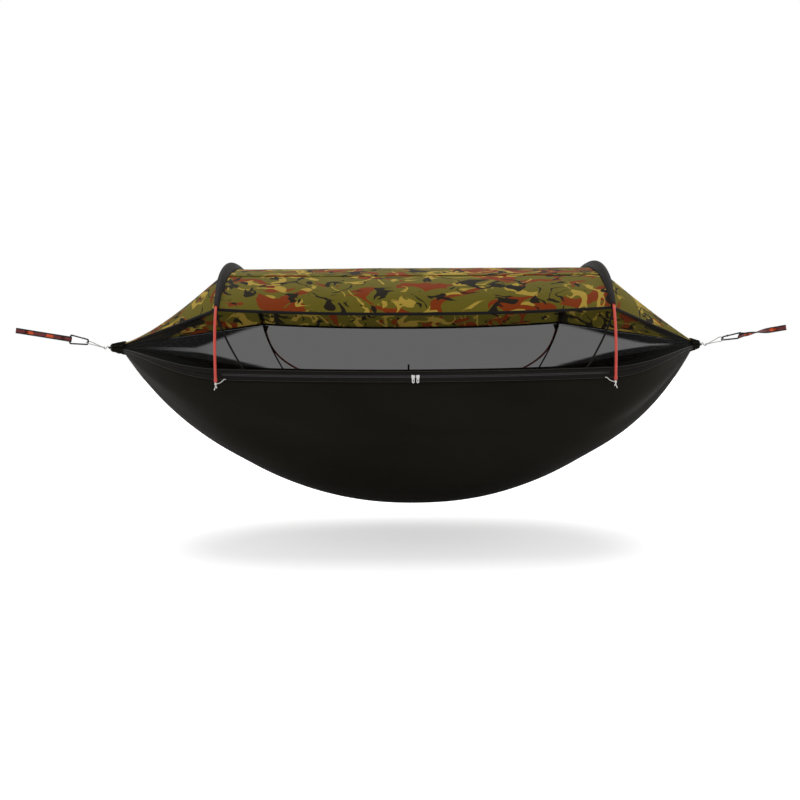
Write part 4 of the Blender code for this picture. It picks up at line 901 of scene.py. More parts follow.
def makePole(side):
    name = sideNames[side]
    joins = evenAngles(0.0, math.pi, 3)
    gap = arch["joinGap"] / 2 / arch["rise"]
    for index, part in enumerate(("front", "middle", "back")):
        first = joins[index] + (gap if index else 0.0)
        last = joins[index + 1] - (gap if index < 2 else 0.0)
        points = [polePoint(angle, side) for angle in evenAngles(first, last, 60)]
        addPiece(f"pole_{part}_{name}_tube", tubeMesh(part, [points], arch["radius"], 20), "pole",
                 f"pole_{part}_{name}", sharp=50)
    tips = [[polePoint(mix(angle, inward, share), side) for share in (0.0, 0.1, 0.5, 0.9, 1.0)]
            for angle, inward in ((0.0, arch["tipAngle"]), (math.pi, math.pi - arch["tipAngle"]))]
    radii = [arch["radius"] * share for share in (1.06, 1.16, 1.16, 1.16, 1.04)]
    addPiece(f"poleTips_{name}", tubeMesh("poleTips", tips, radii, 20), "pole")


def makeSleeve(side):
    name = sideNames[side]
    lift = (layout["clothThickness"] + sleeve["thickness"]) / 2 + layout["pieceGap"]
    rows = []
    for along in shares(sleeve["rows"]):
        share, angle = math.sin(math.pi * along), archAngle(along)
        centre, normal = polePoint(angle, side), poleNormal(angle)
        half = mix(sleeve["endWidth"], sleeve["topWidth"], share ** sleeve["swell"]) / 2
        cap = mix(arch["radius"], arch["ferruleRadius"], min(1.0, 2 * share)) + sleeve["slack"] + 0.0010
        inner = besideArch(half, along, side, False) + normal * lift
        outer = besideArch(half, along, side, True)
        slope = (outer - canopyArch(along, side)).normalized()
        outer = outer + (normal - slope * normal.dot(slope)).normalized() * lift
        capLine = [centre + xAxis * (side * x) + normal * z
                   for x, z in arc(cap, math.radians(155), math.radians(25), 8)]
        line = ([mix(inner, capLine[0], part) for part in shares(5)[:-1]] + capLine
                + [mix(capLine[-1], outer, part) for part in shares(5)[1:]])
        # gathers where the mesh is drawn in round the pole
        for index in (1, 2, 3, 4, 14, 15, 16, 17):
            flank = math.sin(math.pi * index / (len(line) - 1))
            line[index] = line[index] + normal * (sleeve["puff"] * flank * share * math.sin(along * 95 + index))
        rows.append(line)
    piece = addSheet(f"poleSleeve_{name}", rows, "sleeve", sleeve["thickness"], f"pole_sleeve_{name}")
    build = bmesh.new()
    for column in (1, len(rows[0]) - 2):
        line = [row[column] + poleNormal(archAngle(along)) * 0.0006
                for row, along in zip(rows, shares(sleeve["rows"]))]
        stitchRow(build, lambda share: between(line, share), 260)
    addPiece(f"sleeveStitches_{name}", meshFrom(build, "sleeveStitches"), "thread")


# Canopy

canopy = {
    "halfWidth": 0.390,
    "edgeHeight": 0.091,
    "ridgeHeight": 0.277,
    "endHalfWidth": 0.012,
    "endEdgeHeight": 0.011,
    "endRidgeHeight": 0.019,
    "sagPower": 2.2,
    "endSag": {left: 0.030, right: 0.008},
    "trimHeight": 0.008,
    "trimThickness": 0.0011,
    "rows": 96,
    "columns": 120,
    "endColumns": 60,
    "fan": 0.0020,
    "printFrom": {left: 5.3, right: 9.4},
    "seams": ((0.247, -0.022), (0.753, 0.022)),      # place in the middle, drift at the arches
    "seamWidth": 0.009,
    "seamThickness": 0.0006,
    "welt": 0.0022,
}


def canopyArch(along, side):
    angle = archAngle(along)
    drop = mix(sleeve["endDrop"], sleeve["topDrop"], math.sin(math.pi * along))
    return polePoint(angle, side) - poleNormal(angle) * drop


def canopySpan(share, along):
    side = left if share < 0 else right
    angle = math.pi * along
    ridge = Vector((archOffset, -canopy["halfWidth"] * math.cos(angle),
                    mix(canopy["edgeHeight"], canopy["ridgeHeight"], math.sin(angle))))
    archPoint = canopyArch(along, side)
    point = mix(ridge, archPoint, abs(share) ** canopy["sagPower"])
    point.x = mix(ridge.x, archPoint.x, abs(share))
    return point


def canopyEnd(share, along, side):
    angle = math.pi * along
    tip = Vector((endPlace(side), -canopy["endHalfWidth"] * math.cos(angle),
                  mix(canopy["endEdgeHeight"], canopy["endRidgeHeight"], math.sin(angle))))
    point = mix(canopyArch(along, side), tip, share)
    point.z -= canopy["endSag"][side] * 5.4 * share ** 1.5 * (1 - share) * math.sin(angle)
    return point


def besideArch(distance, along, side, outward):
    archPoint = canopyArch(along, side)
    following = canopyEnd(1 / 6, along, side) if outward else canopySpan(side * 5 / 6, along)
    return mix(archPoint, following, distance / abs(following.x - archPoint.x))


def creased(share, along, lift=0.0):
    # the span's cloth with small pull lines that fan from the arches' lower ends
    point = canopySpan(share, along)
    wave = math.sin(along * 46 + share * 4) * abs(share) ** 3 * 0.0013 + noise.noise(point * 9) * 0.0016
    angle = math.pi * along
    outward = Vector((0, -math.cos(angle) * 0.6, math.sin(angle) + 0.2)).normalized()
    return point + outward * (wave * math.sin(angle) + lift)


def makeCanopy():
    gap = layout["foldGap"] / 2
    rows = []
    for along in shares(canopy["rows"]):
        low, high = (side * (1 - gap / abs(canopyArch(along, side).x - archOffset)) for side in (left, right))
        rows.append([creased(share, along) for share in shares(canopy["columns"], low, high)])
    piece = addSheet("canopyCentre", rows, "camouflage", 0, "canopy_centre")
    printSize("canopy centre", sheetSize(rows))
    for side in (left, right):
        name, rows = sideNames[side], []
        for along in shares(canopy["rows"]):
            first = gap / abs(endPlace(side) - canopyArch(along, side).x)
            fan = math.sin(along * 60) * canopy["fan"] * math.sin(math.pi * along)
            rows.append([canopyEnd(share, along, side) + zAxis * (fan * math.sin(math.pi * share) * share)
                         for share in shares(canopy["endColumns"], first, 1)])
        piece = addSheet(f"canopyEnd_{name}", rows, "camouflage", 0, f"canopy_end_{name}",
                         printFrom=canopy["printFrom"][side])
        printSize(f"canopy end {name}", sheetSize(rows, 0))
    for label, (place, drift) in zip(("front", "back"), canopy["seams"]):
        rows = []
        for across in shares(6, -1, 1):
            lift = canopy["seamThickness"] + canopy["welt"] * (1 - across ** 2)
            rows.append([creased(share, place + drift * share ** 2 + across * canopy["seamWidth"] / 2, lift)
                         for share in shares(120, -0.998, 0.998)])
        addSheet(f"canopySeam_{label}", rows, "camouflage", canopy["seamThickness"])


def canopyEdgePoint(x, depth):
    along = 0.0 if depth == front else 1.0
    low, high = canopyArch(along, left).x, canopyArch(along, right).x
    if x <= low:
        return canopyEnd((low - x) / (low - endPlace(left)), along, left)
    if x >= high:
        return canopyEnd((x - high) / (endPlace(right) - high), along, right)
    return canopySpan((x - archOffset) / ((archOffset - low) if x < archOffset else (high - archOffset)), along)


def towardBed(point, depth):
    return (wallPoint(point.x, depth, tapeOuter) - point).normalized()


def trimDrop(x):
    return layout["seamGap"] + canopy["trimHeight"] * narrowing(x)


def makeTrims():
    for depth, name in depthNames.items():
        edge = [canopyEdgePoint(x, depth) for x in shares(260, endPlace(left), endPlace(right))]
        rows = []
        for share in (0.0, 0.33, 0.67, 1.0):
            out = Vector((0, depth, 0.25)).normalized() * (0.0014 * math.sin(math.pi * (0.2 + 0.8 * share)))
            rows.append([point + towardBed(point, depth) * mix(-0.0015, trimDrop(point.x), share) + out
                         for point in edge])
        addSheet(f"canopyTrim_{name}", rows, "binding", canopy["trimThickness"], f"canopy_trim_{name}")


# Nets

net = {
    "seamHalfLength": {front: 0.531, back: 0.552},
    "rows": 24,
    "columns": 90,
    "endColumns": 60,
    "seamPower": 1.35,
    "sag": 0.0030,
    "fold": 0.0030,
    "bindingWidth": 0.0070,
    "bindingThickness": 0.0009,
    "foldStart": 0.60,
    "foldEnd": {left: 0.870, right: 0.925},      # the folds reach their full height here
    "foldShares": {left: (0.34, 0.50), right: (0.45, 0.42)},      # of the net's height, at hem and canopy
    "foldEdge": 0.012,
    "closing": {left: (0.76, 1.06), right: (0.94, 0.99)},
    "closed": 0.95,
}


def seamPlace(side, share, depth):
    bottom = archOffset + side * net["seamHalfLength"][depth]
    return mix(bottom, canopyArch(0.0, side).x, 1 - (1 - share) ** net["seamPower"])


def netPoint(x, share, depth, out=0.0):
    low = wallPoint(x, depth, tapeOuter)
    edge = canopyEdgePoint(x, depth)
    down = towardBed(edge, depth)
    high = edge + down * trimDrop(edge.x) + down * layout["seamGap"]
    low = low + (high - low).normalized() * layout["foldGap"]
    sag = net["sag"] * math.sin(math.pi * share) * narrowing(x)
    return mix(low, high, share) + yAxis * depth * (out - sag)


def netClosing(point, low, high):
    # 0 for open netting, 1 where folds lie over each other
    side, distance = sideOf(point.x), abs(point.x - archOffset)
    start, end = net["closing"][side]
    share = smooth((distance - start) / (end - start))
    run = clamp((distance - net["foldStart"]) / (net["foldEnd"][side] - net["foldStart"]))
    hem, top = net["foldShares"][side]
    for edge, band in ((low, hem * run ** 1.2), (high, top * run ** 2.2)):
        inside = (point - edge).length - band * (high - low).length
        share = max(share, smooth(run * 8) * (1 - smooth(inside / net["foldEdge"] + 0.5)))
    return share * net["closed"]


def addNet(name, rows, node):
    piece = addSheet(name, rows, "net", 0, node)
    layer = piece.data.uv_layers.new(name="gather")
    for loop in piece.data.loops:
        row, column = divmod(loop.vertex_index, len(rows[0]))
        share = netClosing(rows[row][column], rows[0][column], rows[-1][column])
        layer.data[loop.index].uv = (share, row / (len(rows) - 1))
    return piece


def makeNets():
    ups = shares(net["rows"])
    for depth, name in depthNames.items():
        rows = []
        for up in ups:
            seams = (seamPlace(side, up, depth) for side in (left, right))
            rows.append([netPoint(x, up, depth) for x in shares(net["columns"], *seams)])
        piece = addNet(f"net_{name}_panel", rows, f"net_{name}")
        printSize(f"net {name}", sheetSize(rows))
        for side, sideName in sideNames.items():
            rows = []
            for up in ups:
                first, line = seamPlace(side, up, depth), []
                for share in shares(net["endColumns"]):
                    fold = net["fold"] * math.sin(up * 26 + share * 3) * share ** 2 * (1 - share) * 4
                    line.append(netPoint(mix(first, endPlace(side), share), up, depth, fold))
                rows.append(line)
            piece = addNet(f"netEnd_{name}_{sideName}", rows, f"net_end_{name}_{sideName}")
            printSize(f"net end {name} {sideName}", sheetSize(rows, 0))
            seam = [[netPoint(seamPlace(side, up, depth) + offset * net["bindingWidth"], up, depth, 0.0010)
                     for up in shares(24)] for offset in (-0.5, 0.0, 0.5)]
            addSheet(f"netSeam_{name}_{sideName}", seam, "binding", net["bindingThickness"])


# Tabs

tabs = {
    "cornerWidth": 0.022,
    "cornerHeight": 0.024,
    "cornerPoint": 0.004,
    "loopWidth": 0.008,
    "loopHeight": 0.055,
    "loopPlace": -0.010,
    "thickness": 0.0012,
}


def makeTabs():
    for side, name in sideNames.items():
        centreX = canopyArch(1.0, side).x - side * tabs["cornerWidth"] / 2
        rows = []
        for share in shares(6):
            half = mix(tabs["cornerWidth"], tabs["cornerPoint"], share) / 2
            drop = mix(layout["pieceGap"], tabs["cornerHeight"], share)
            line = []
            for x in shares(6, centreX - half, centreX + half):
                top, foot = netPoint(x, 1.0, back), netPoint(x, 0.0, back)
                line.append(top + (foot - top).normalized() * drop + yAxis * 0.0018)
            rows.append(line)
        addSheet(f"cornerTab_{name}", rows, "binding", tabs["thickness"], f"corner_tab_{name}")
    x, half = archOffset + tabs["loopPlace"], tabs["loopWidth"] / 2
    rows = [[wallPoint(place, back, mix(-tapeOuter, tabs["loopHeight"] - tapeOuter, share),
                       0.0020 + 0.0016 * math.sin(math.pi * share)) for place in shares(4, x - half, x + half)]
            for share in shares(8)]
    addSheet("hemLoopBack", rows, "binding", tabs["thickness"], "hem_loop_back")


# Ties at the poles' feet

tie = {
    "radius": 0.0013,
    "knot": 0.0042,
    "tails": ((-1, 0.014), (1, 0.020)),      # which way each drifts, its length
    "drift": 0.25,
    "reach": 0.016,
    "seat": 0.005,
    "wraps": 3,
    "wrapShare": 0.85,
    "wrapHalf": 0.0025,
    "lap": 0.0030,
    "lapCross": 0.0012,
}


def makeTie(side, depth):
    name = f"{depthNames[depth]}_{sideNames[side]}"
    angle = 0.0 if depth == front else math.pi
    foot = polePoint(angle, side)
    along = (foot - polePoint(abs(angle - math.radians(2)), side)).normalized()
    knot = foot + along * (tie["knot"] + layout["pieceGap"])
    seats = [wallPoint(foot.x - side * reach, depth, -tapeOuter + tie["radius"], tie["radius"] + 0.0012)
             for reach in (tie["reach"], tie["reach"] + tie["seat"])]
    line = [mix(knot, seats[0], share) - zAxis * (tie["knot"] * 4 * share * (1 - share)) for share in shares(8)]
    routes = [curveThrough(line + seats[1:], 4)]
    for way, drop in tie["tails"]:
        tail = [knot + Vector((side * drop * tie["drift"] * share ** 2 * way, 0, -drop * share))
                for share in shares(4)]
        routes.append(curveThrough(tail, 4))
    # the knot: turns round the tube's end and two crossing laps
    across = along.orthogonal().normalized()
    outward = along.cross(across)
    steps = tie["wraps"] * 14
    turns = arc((tie["knot"] - tie["radius"] - 0.0002) * tie["wrapShare"], 0.0, math.tau * tie["wraps"], steps)
    routes.append([knot + across * x + outward * y + along * height
                   for (x, y), height in zip(turns, shares(steps, -tie["wrapHalf"], tie["wrapHalf"]))])
    routes.append([knot + along * (tie["lap"] * math.cos(turn)) + across * (tie["lap"] * math.sin(turn))
                   + outward * (tie["lapCross"] * math.sin(2 * turn)) for turn in shares(24, 0.0, math.tau)])
    addPiece(f"footTie_{name}", tubeMesh(name, routes, tie["radius"], 10), "elastic", f"foot_tie_{name}")


# Gathered channels, end ropes, S-hooks and cord loops

channel = {
    "tipRadius": 0.0110,
    "mouthHalfWidth": 0.028,
    "mouthTop": 0.0225,
    "mouthBottom": -0.0255,
    "pleats": 9,
    "pleatDepth": 0.0022,
    "creases": ((31, 0.0009, 3), (53, 0.0006, -5)),      # waves, depth, twist
    "drift": 0.0012,
    "inset": 0.0012,
    "setback": 0.0035,
    "swell": 1.4,
    "lipStart": 0.93,
    "lip": 0.35,
    "around": 216,
    "rings": 40,
    "whipping": (0.80, 0.91),      # from and to, as shares of the channel
    "whippingTurns": 4,
    "whippingLift": 0.0016,
    "whippingRadius": 0.0008,
}
hook = {
    "wire": 0.0015,
    "innerBow": 0.0055,
    "outerBow": 0.0046,
    "spacing": 0.0120,
    "beyondTip": 0.0055,
    "innerSweep": (math.radians(245), math.radians(20)),
    "outerSweep": (math.radians(200), math.radians(425)),
    "ropeRadius": 0.0024,
}
loop = {
    "cord": 0.0016,
    "bend": 0.0130,
    "roll": {left: math.radians(15), right: math.radians(35)},
}
carabiner = {
    "distance": 1.170,
    "slope": math.radians(9.5),
    "roll": {left: 0.0, right: math.radians(50)},
    "length": 0.066,
    "narrowHalf": 0.0090,
    "wideHalf": 0.0160,
    "bar": 0.0029,
    "corner": 0.0045,
    "hingePlace": 0.0150,
    "nosePlace": 0.0510,
    "gateRadius": 0.0027,
    "tongue": 0.0022,
    "tongueReach": 0.0060,
    "earShare": 0.96,
    "slotDepth": 0.0036,
    "pin": 0.0010,
    "runningGap": 0.00035,
}
hookMiddle = halfTips + hook["beyondTip"]
hookOuterWire = hookMiddle + hook["spacing"] + hook["outerBow"]


def makeChannel(side):
    name, around, rings = sideNames[side], channel["around"], channel["rings"]
    start = endPlace(side) + side * (layout["clothThickness"] / 2 + layout["pieceGap"])
    end = side * (halfTips - channel["setback"])
    centre = (channel["mouthTop"] + channel["mouthBottom"]) / 2
    mouthHigh = (channel["mouthTop"] - channel["mouthBottom"]) / 2
    points = []
    for share in shares(rings):
        swell = share ** channel["swell"]
        lip = 1 - channel["lip"] * smooth((share - channel["lipStart"]) / (1 - channel["lipStart"]))
        for angle in shares(around, 0.0, math.tau)[:-1]:
            folds = channel["pleatDepth"] * math.cos(channel["pleats"] * angle) - channel["inset"]
            for waves, depth, twist in channel["creases"]:
                folds += depth * math.cos(waves * angle + twist * share)
            place = Vector((share * 5, math.cos(angle) * 2, math.sin(angle) * 2))
            folds += channel["drift"] * noise.noise(place)
            wide, high = ((mix(mouth, channel["tipRadius"], swell) + folds) * lip
                          for mouth in (channel["mouthHalfWidth"], mouthHigh))
            points.append(toPart(Vector((mix(start, end, share), wide * math.cos(angle),
                                         mix(centre, 0, swell) + high * math.sin(angle)))))
    steps = [(step, (step + 1) % around) for step in range(around)]
    faces = [(ring + step, ring + after, ring + around + after, ring + around + step)
             for ring in range(0, rings * around, around) for step, after in steps]
    faces += [tuple(reversed(range(around))), tuple(range(rings * around, (rings + 1) * around))]
    mesh = meshOf("channel", points, faces if side == right else [face[::-1] for face in faces])
    mesh.validate()
    addPiece(f"endChannel_{name}", mesh, "bed", f"end_channel_{name}", sharp=60)
    # whipping that closes the gathers near the tip
    wraps, steps = [], channel["whippingTurns"] * 28
    for turn, share in zip(shares(steps, 0.0, math.tau * channel["whippingTurns"]),
                           shares(steps, *channel["whipping"])):
        swell = share ** channel["swell"]
        high = mix(mouthHigh, channel["tipRadius"], swell) + channel["whippingLift"]
        wide = min(high, channel["tipRadius"] + channel["whippingLift"] + (1 - swell) * 0.020)
        wraps.append(Vector((mix(start, end, share), wide * math.cos(turn),
                             mix(centre, 0, swell) + high * math.sin(turn))))
    addPiece(f"endWhipping_{name}", tubeMesh("whipping", [wraps], channel["whippingRadius"], 8), "rope")


def makeHook(side):
    name = sideNames[side]
    bows = (arc(hook["innerBow"], *hook["innerSweep"], 32, (hookMiddle, 0))
            + arc(hook["outerBow"], *hook["outerSweep"], 32, (hookMiddle + hook["spacing"], 0)))
    points = [Vector((side * x, 0, z)) for x, z in bows]
    radii = [hook["wire"] * share for share in (0.55, 0.85, *[1.0] * (len(points) - 4), 0.85, 0.55)]
    addPiece(f"sHook_{name}", tubeMesh("hook", [points], radii, 14), "steel", f"s_hook_{name}")
    bend = hook["wire"] + hook["ropeRadius"] + layout["pieceGap"]
    face = halfTips - channel["setback"] + layout["pieceGap"]
    turn = arc(bend, -math.pi / 2, math.pi / 2, 16, (hookMiddle - hook["innerBow"], 0))
    points = [Vector((side * x, y, 0)) for x, y in [(face, -bend), *turn, (face, bend)]]
    addPiece(f"endRope_{name}", tubeMesh("rope", [points], hook["ropeRadius"], 16), "rope", f"end_rope_{name}")


def straight(start, end):
    # the points between two places
    return [(mix(start[0], end[0], share), mix(start[1], end[1], share)) for share in shares(10)[1:-1]]


def makeLoop(side):
    tipGap = hook["wire"] + loop["cord"] + layout["pieceGap"]
    barGap = carabiner["bar"] + loop["cord"] + layout["pieceGap"]
    topMiddle = carabiner["distance"] + barGap - loop["bend"]
    run = topMiddle - hookOuterWire
    turn = math.pi / 2 + math.asin((loop["bend"] - tipGap) / run)
    wide = arc(loop["bend"], -turn, turn, 32, (topMiddle, 0))
    tight = arc(tipGap, turn, math.tau - turn, 12, (hookOuterWire, 0))
    points = []
    for out, across in wide + straight(wide[-1], tight[0]) + tight + straight(tight[-1], wide[0]):
        climb = layout["swingHeight"] * clamp((out - hookOuterWire) / (carabiner["distance"] - hookOuterWire))
        roll = loop["roll"][side] * clamp((out - hookOuterWire) / run)
        points.append(Vector((side * out, across * math.cos(roll), climb + across * math.sin(roll))))
    addPiece(f"cordLoop_{sideNames[side]}", tubeMesh("loop", [points], loop["cord"], 12, True), "silverCord",
             f"cord_loop_{sideNames[side]}")


# Carabiners

def carabinerFrame(side):
    heading = 0.0 if side == right else math.pi
    return (Matrix.Translation((side * carabiner["distance"], 0, layout["swingHeight"]))
            @ Matrix.Rotation(heading, 4, "Z") @ Matrix.Rotation(-carabiner["slope"], 4, "Y")
            @ Matrix.Rotation(carabiner["roll"][side], 4, "X"))


def barPoint(place):
    share = place / carabiner["length"]
    return Vector((place, 0, mix(carabiner["narrowHalf"], carabiner["wideHalf"], share)))


def roundedPath(corners, radius):
    points = [corners[0]]
    for before, corner, after in zip(corners, corners[1:], corners[2:]):
        into, out = (corner - before).normalized(), (after - corner).normalized()
        turn = into.angle(out)
        cut = radius * math.tan(turn / 2)
        centre = corner - into * cut + (out - into * into.dot(out)).normalized() * radius
        start, axis = corner - into * cut - centre, into.cross(out).normalized()
        points += [centre + Matrix.Rotation(angle, 3, axis) @ start for angle in shares(12, 0.0, turn)]
    return points + corners[-1:]


def plateInto(build, outline, bore, thickness, matrix):
    # a flat plate in the XZ plane with a round hole, by bridging the two outlines' edges
    plate, edges = bmesh.new(), ([], [])
    for points in (outline, arc(bore, 0.0, math.tau, 24)[:-1]):
        rings = []
        for level, made in zip((-thickness / 2, thickness / 2), edges):
            ring = [plate.verts.new((x, level, z)) for x, z in points]
            made += [plate.edges.new(ends) for ends in zip(ring, ring[1:] + ring[:1])]
            rings.append(ring)
        low, high = rings
        for corners in zip(low, low[1:] + low[:1], high[1:] + high[:1], high):
            plate.faces.new(corners)
    for made in edges:
        bmesh.ops.triangle_fill(plate, use_beauty=True, use_dissolve=False, edges=made)
    bmesh.ops.recalc_face_normals(plate, faces=plate.faces)
    bmesh.ops.transform(plate, matrix=matrix, verts=plate.verts)
    mesh = meshFrom(plate, "plate")
    build.from_mesh(mesh)
    bpy.data.meshes.remove(mesh)


def makeCarabiner(side):
    name, place = sideNames[side], carabinerFrame(side)
    hinge, nose = barPoint(carabiner["hingePlace"]), barPoint(carabiner["nosePlace"])
    along = (nose - hinge).normalized()
    shoulder = hinge - along * (carabiner["gateRadius"] + 2 * layout["pieceGap"])
    narrow, wide = barPoint(0), barPoint(carabiner["length"])
    corners = [shoulder, narrow, -narrow, wide * Vector((1, 1, -1)), wide, nose]
    path = [place @ point for point in roundedPath(corners, carabiner["corner"])]
    path[-1:] = [mix(path[-2], path[-1], share) for share in (0.3, 0.6, 0.86, 0.95, 1.0)]
    radii = [carabiner["bar"] * share for share in (0.80, *[1.0] * (len(path) - 3), 0.92, 0.72)]
    build = bmesh.new()
    tubeInto(build, path, radii, 20)
    turn = xAxis.rotation_difference(along).to_matrix().to_4x4()
    gateFrame = Matrix.Translation(middle) @ place @ Matrix.Translation(hinge) @ turn
    reach, root = carabiner["gateRadius"] - 0.0001, -carabiner["tongueReach"]
    outline = arc(reach, -math.pi / 2, math.pi / 2, 12) + [(root, reach), (root, -reach)]
    plateInto(build, outline, carabiner["pin"] + carabiner["runningGap"], carabiner["tongue"], gateFrame)
    addPiece(f"carabinerBody_{name}", meshFrom(build, "carabiner"), "gunmetal", f"carabiner_{name}",
             body="straps", sharp=50)
    makeGate(name, gateFrame, (nose - hinge).length - layout["pieceGap"])


def makeGate(name, place, length):
    # two ears beside the tongue, then the round body with a domed nose end
    radius, start, build = carabiner["gateRadius"], carabiner["slotDepth"], bmesh.new()
    slotHalf = carabiner["tongue"] / 2 + carabiner["runningGap"]
    thickness, ear, earEnd = radius - slotHalf, radius * carabiner["earShare"], start + 0.0006
    outline = arc(ear, math.pi / 2, math.pi * 3 / 2, 12) + [(earEnd, -ear), (earEnd, ear)]
    for way in (-1, 1):
        plateInto(build, outline, carabiner["pin"] + 0.00005, thickness,
                  place @ Matrix.Translation((0, way * (slotHalf + thickness / 2), 0)))
    stations = ((start, 0.94), (start + 0.0004, 1.0), (length * 0.5, 1.0), (length - 0.0012, 1.0),
                (length - 0.0004, 0.90), (length, 0.74))
    tubeInto(build, [place @ Vector((x, 0, 0)) - middle for x, _ in stations],
             [radius * share for _, share in stations], 20)
    addPiece(f"carabinerGate_{name}", meshFrom(build, "gate"), "gunmetal", f"carabiner_gate_{name}",
             body=f"gate_{name}", sharp=40)
    stations = ((-radius, 0.8), (-radius + 0.0002, 0.98), (0, 0.98), (radius - 0.0002, 0.98), (radius, 0.8))
    pin = tubeMesh("pin", [[place @ Vector((0, y, 0)) - middle for y, _ in stations]],
                   [carabiner["pin"] * share for _, share in stations], 20)
    addPiece(f"gatePin_{name}", pin, "steel", f"gate_pin_{name}", body="straps")


# Straps

strap = {
    "width": 0.020,
    "thickness": 0.0018,
    "length": {left: 0.201, right: 0.171},
    "eyeRadius": 0.0070,
    "eyeRun": 0.024,
    "innerRun": 0.0192,
    "wrapGap": 0.0006,
    "wrapSweep": (math.pi, math.radians(100)),
    "twist": {left: 0.0, right: math.radians(130)},
    "printFrom": {left: 0.0, right: 0.026},
    "tackLength": 0.014,
    "tackShare": 0.40,
    "tackRadius": 0.00035,
}


def strapHalf(side):
    inner = carabiner["bar"] + strap["wrapGap"] + strap["thickness"] / 2
    layer = strap["thickness"] / 2 + layout["pieceGap"] / 2
    outer = strap["length"][side] - strap["eyeRadius"]
    blend = [(share, smooth(share)) for share in shares(8)[1:-1]]
    return (arc(inner, *strap["wrapSweep"], 8)
            + [(strap["innerRun"] * share, mix(inner, layer, soft)) for share, soft in blend]
            + [(x, layer) for x in shares(32, strap["innerRun"], outer - strap["eyeRun"])]
            + [(outer - strap["eyeRun"] * (1 - share), mix(layer, strap["eyeRadius"], soft))
               for share, soft in blend]
            + arc(strap["eyeRadius"], math.pi / 2, 0.0, 12, (outer, 0)))


def makeStrap(side):
    name, half = sideNames[side], strapHalf(side)
    place = carabinerFrame(side) @ Matrix.Translation((carabiner["length"], 0, 0))
    path = half + [(x, -y) for x, y in reversed(half[1:-1])] + half[:1]
    start, end = strap["innerRun"], strap["length"][side] - strap["eyeRadius"] - strap["eyeRun"]

    def twisted(x, y, z):
        share = smooth((x - start) / (end - start))
        return place @ (Matrix.Rotation(strap["twist"][side] * share, 3, "X") @ Vector((x, y, z)))

    levels = (-1.0, -0.92, -0.5, 0.0, 0.5, 0.92, 1.0)
    rows = [[twisted(x, y, level * strap["width"] / 2) for x, y in path] for level in levels]
    piece = addSheet(f"strapWebbing_{name}", rows, "webbing", strap["thickness"] * 0.9, f"strap_{name}",
                     body="straps", across=levels, printFrom=strap["printFrom"][side])
    soften = piece.modifiers.new("edges", "BEVEL")
    soften.width, soften.segments, soften.limit_method = 0.0004, 2, "ANGLE"
    build = bmesh.new()
    face = strap["thickness"] + layout["pieceGap"] / 2 + 0.0002
    for begin in (start + 0.001, end - 0.001 - strap["tackLength"]):
        for way in (-1, 1):
            zigzag = [twisted(x, way * face, (1 if step % 2 else -1) * strap["width"] * strap["tackShare"])
                      for step, x in enumerate(shares(14, begin, begin + strap["tackLength"]))]
            tubeInto(build, zigzag, strap["tackRadius"], 6)
    addPiece(f"barTacks_{name}", meshFrom(build, "tacks"), "thread", body="straps", slot="strap_webbing")


makeBed()
makeZip()
print("bed and zip made")
makeCanopy()
makeTrims()
makeNets()
makeTabs()
print("canopy and nets made")
for end in (left, right):
    makeSlider(end)
    makePole(end)
    makeSleeve(end)
    makeTie(end, front)
    makeTie(end, back)
    makeChannel(end)
    makeHook(end)
    makeLoop(end)
    makeCarabiner(end)
    makeStrap(end)
print("ends made")

# What the frame keeps of its own gets a finish too
kept = {"zip_stop": "zip", "pole_ferrule": "alloy", "pole_cord": "elastic"}
for nodeName, node in frame["nodes"].items():
    for start, finish in kept.items():
        if nodeName.startswith(start):
            node.data.materials.clear()
            node.data.materials.append(materials[finish])


# Floor, light and camera

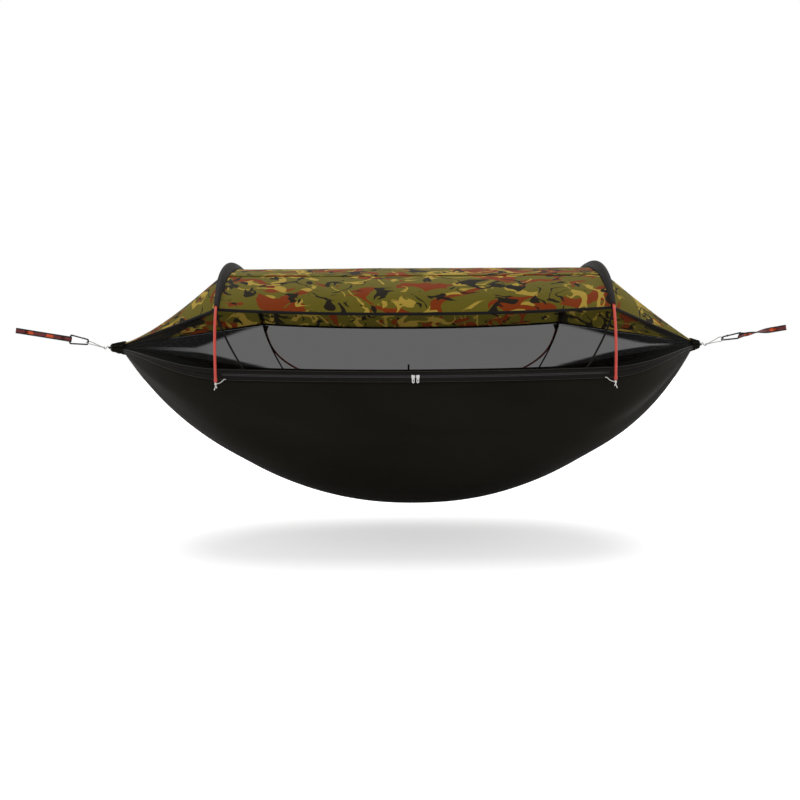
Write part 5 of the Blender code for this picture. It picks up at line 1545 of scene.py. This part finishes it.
studio = {
    "floorDrop": 0.70,
    "floorSize": 60.0,
    "floorColour": (0.88, 0.88, 0.88, 1.0),      # linear
    "floorGlow": 0.48,
    "white": (1.0, 1.0, 1.0, 1.0),
    "worldStrength": 0.62,
    "sunStrength": 2.1,
    "sunAngle": math.radians(55),
    "sunTilt": (math.radians(-14), 0.0, 0.0),
    "cameraPlace": Vector((-0.020, -2.55, -0.072)),
    "lens": 31.0,
    "pitch": math.radians(2.866),
    "roll": math.radians(0.33),
}


def seenBy(tree, *rays):
    path = addNode(tree, "LightPath").outputs
    seen = path[rays[0]]
    for ray in rays[1:]:
        seen = addMath(tree, "MAXIMUM", seen, path[ray])
    return seen


def makeStudio():
    half = studio["floorSize"] / 2
    corners = [(x * half, y * half, 0) for x, y in ((-1, -1), (1, -1), (1, 1), (-1, 1))]
    floor = addObject("floor", meshOf("floor", corners, [(0, 1, 2, 3)]))
    floor.location = middle - zAxis * studio["floorDrop"]
    material = bpy.data.materials.new("floorPaint")
    material.use_nodes = True
    tree = material.node_tree
    shader = tree.nodes["Principled BSDF"].inputs
    shader["Base Color"].default_value = studio["floorColour"]
    shader["Roughness"].default_value = 1.0
    shader["Emission Color"].default_value = studio["white"]
    seen = seenBy(tree, "Is Camera Ray", "Is Transmission Ray")
    feed(tree, shader["Emission Strength"], addMath(tree, "MULTIPLY", seen, studio["floorGlow"]))
    floor.data.materials.append(material)

    scene.world = bpy.data.worlds.new("studio")
    scene.world.use_nodes = True
    tree = scene.world.node_tree
    light = tree.nodes["Background"].inputs
    light["Color"].default_value = studio["white"]
    seen = seenBy(tree, "Is Camera Ray", "Is Glossy Ray", "Is Transmission Ray")
    strength = studio["worldStrength"]
    feed(tree, light["Strength"], addMath(tree, "MULTIPLY_ADD", seen, 1.0 - strength, strength))

    lamp = bpy.data.lights.new("softSun", "SUN")
    lamp.energy, lamp.angle = studio["sunStrength"], studio["sunAngle"]
    addObject("softSun", lamp).rotation_euler = studio["sunTilt"]

    camera = addObject("camera", bpy.data.cameras.new("camera"))
    camera.data.lens = studio["lens"]
    camera.location = toPart(studio["cameraPlace"])
    turn = Matrix.Rotation(math.pi / 2 - studio["pitch"], 3, "X") @ Matrix.Rotation(-studio["roll"], 3, "Z")
    camera.rotation_euler = turn.to_euler()
    scene.camera = camera
    scene.view_settings.view_transform = "Standard"


makeStudio()
print("studio made")
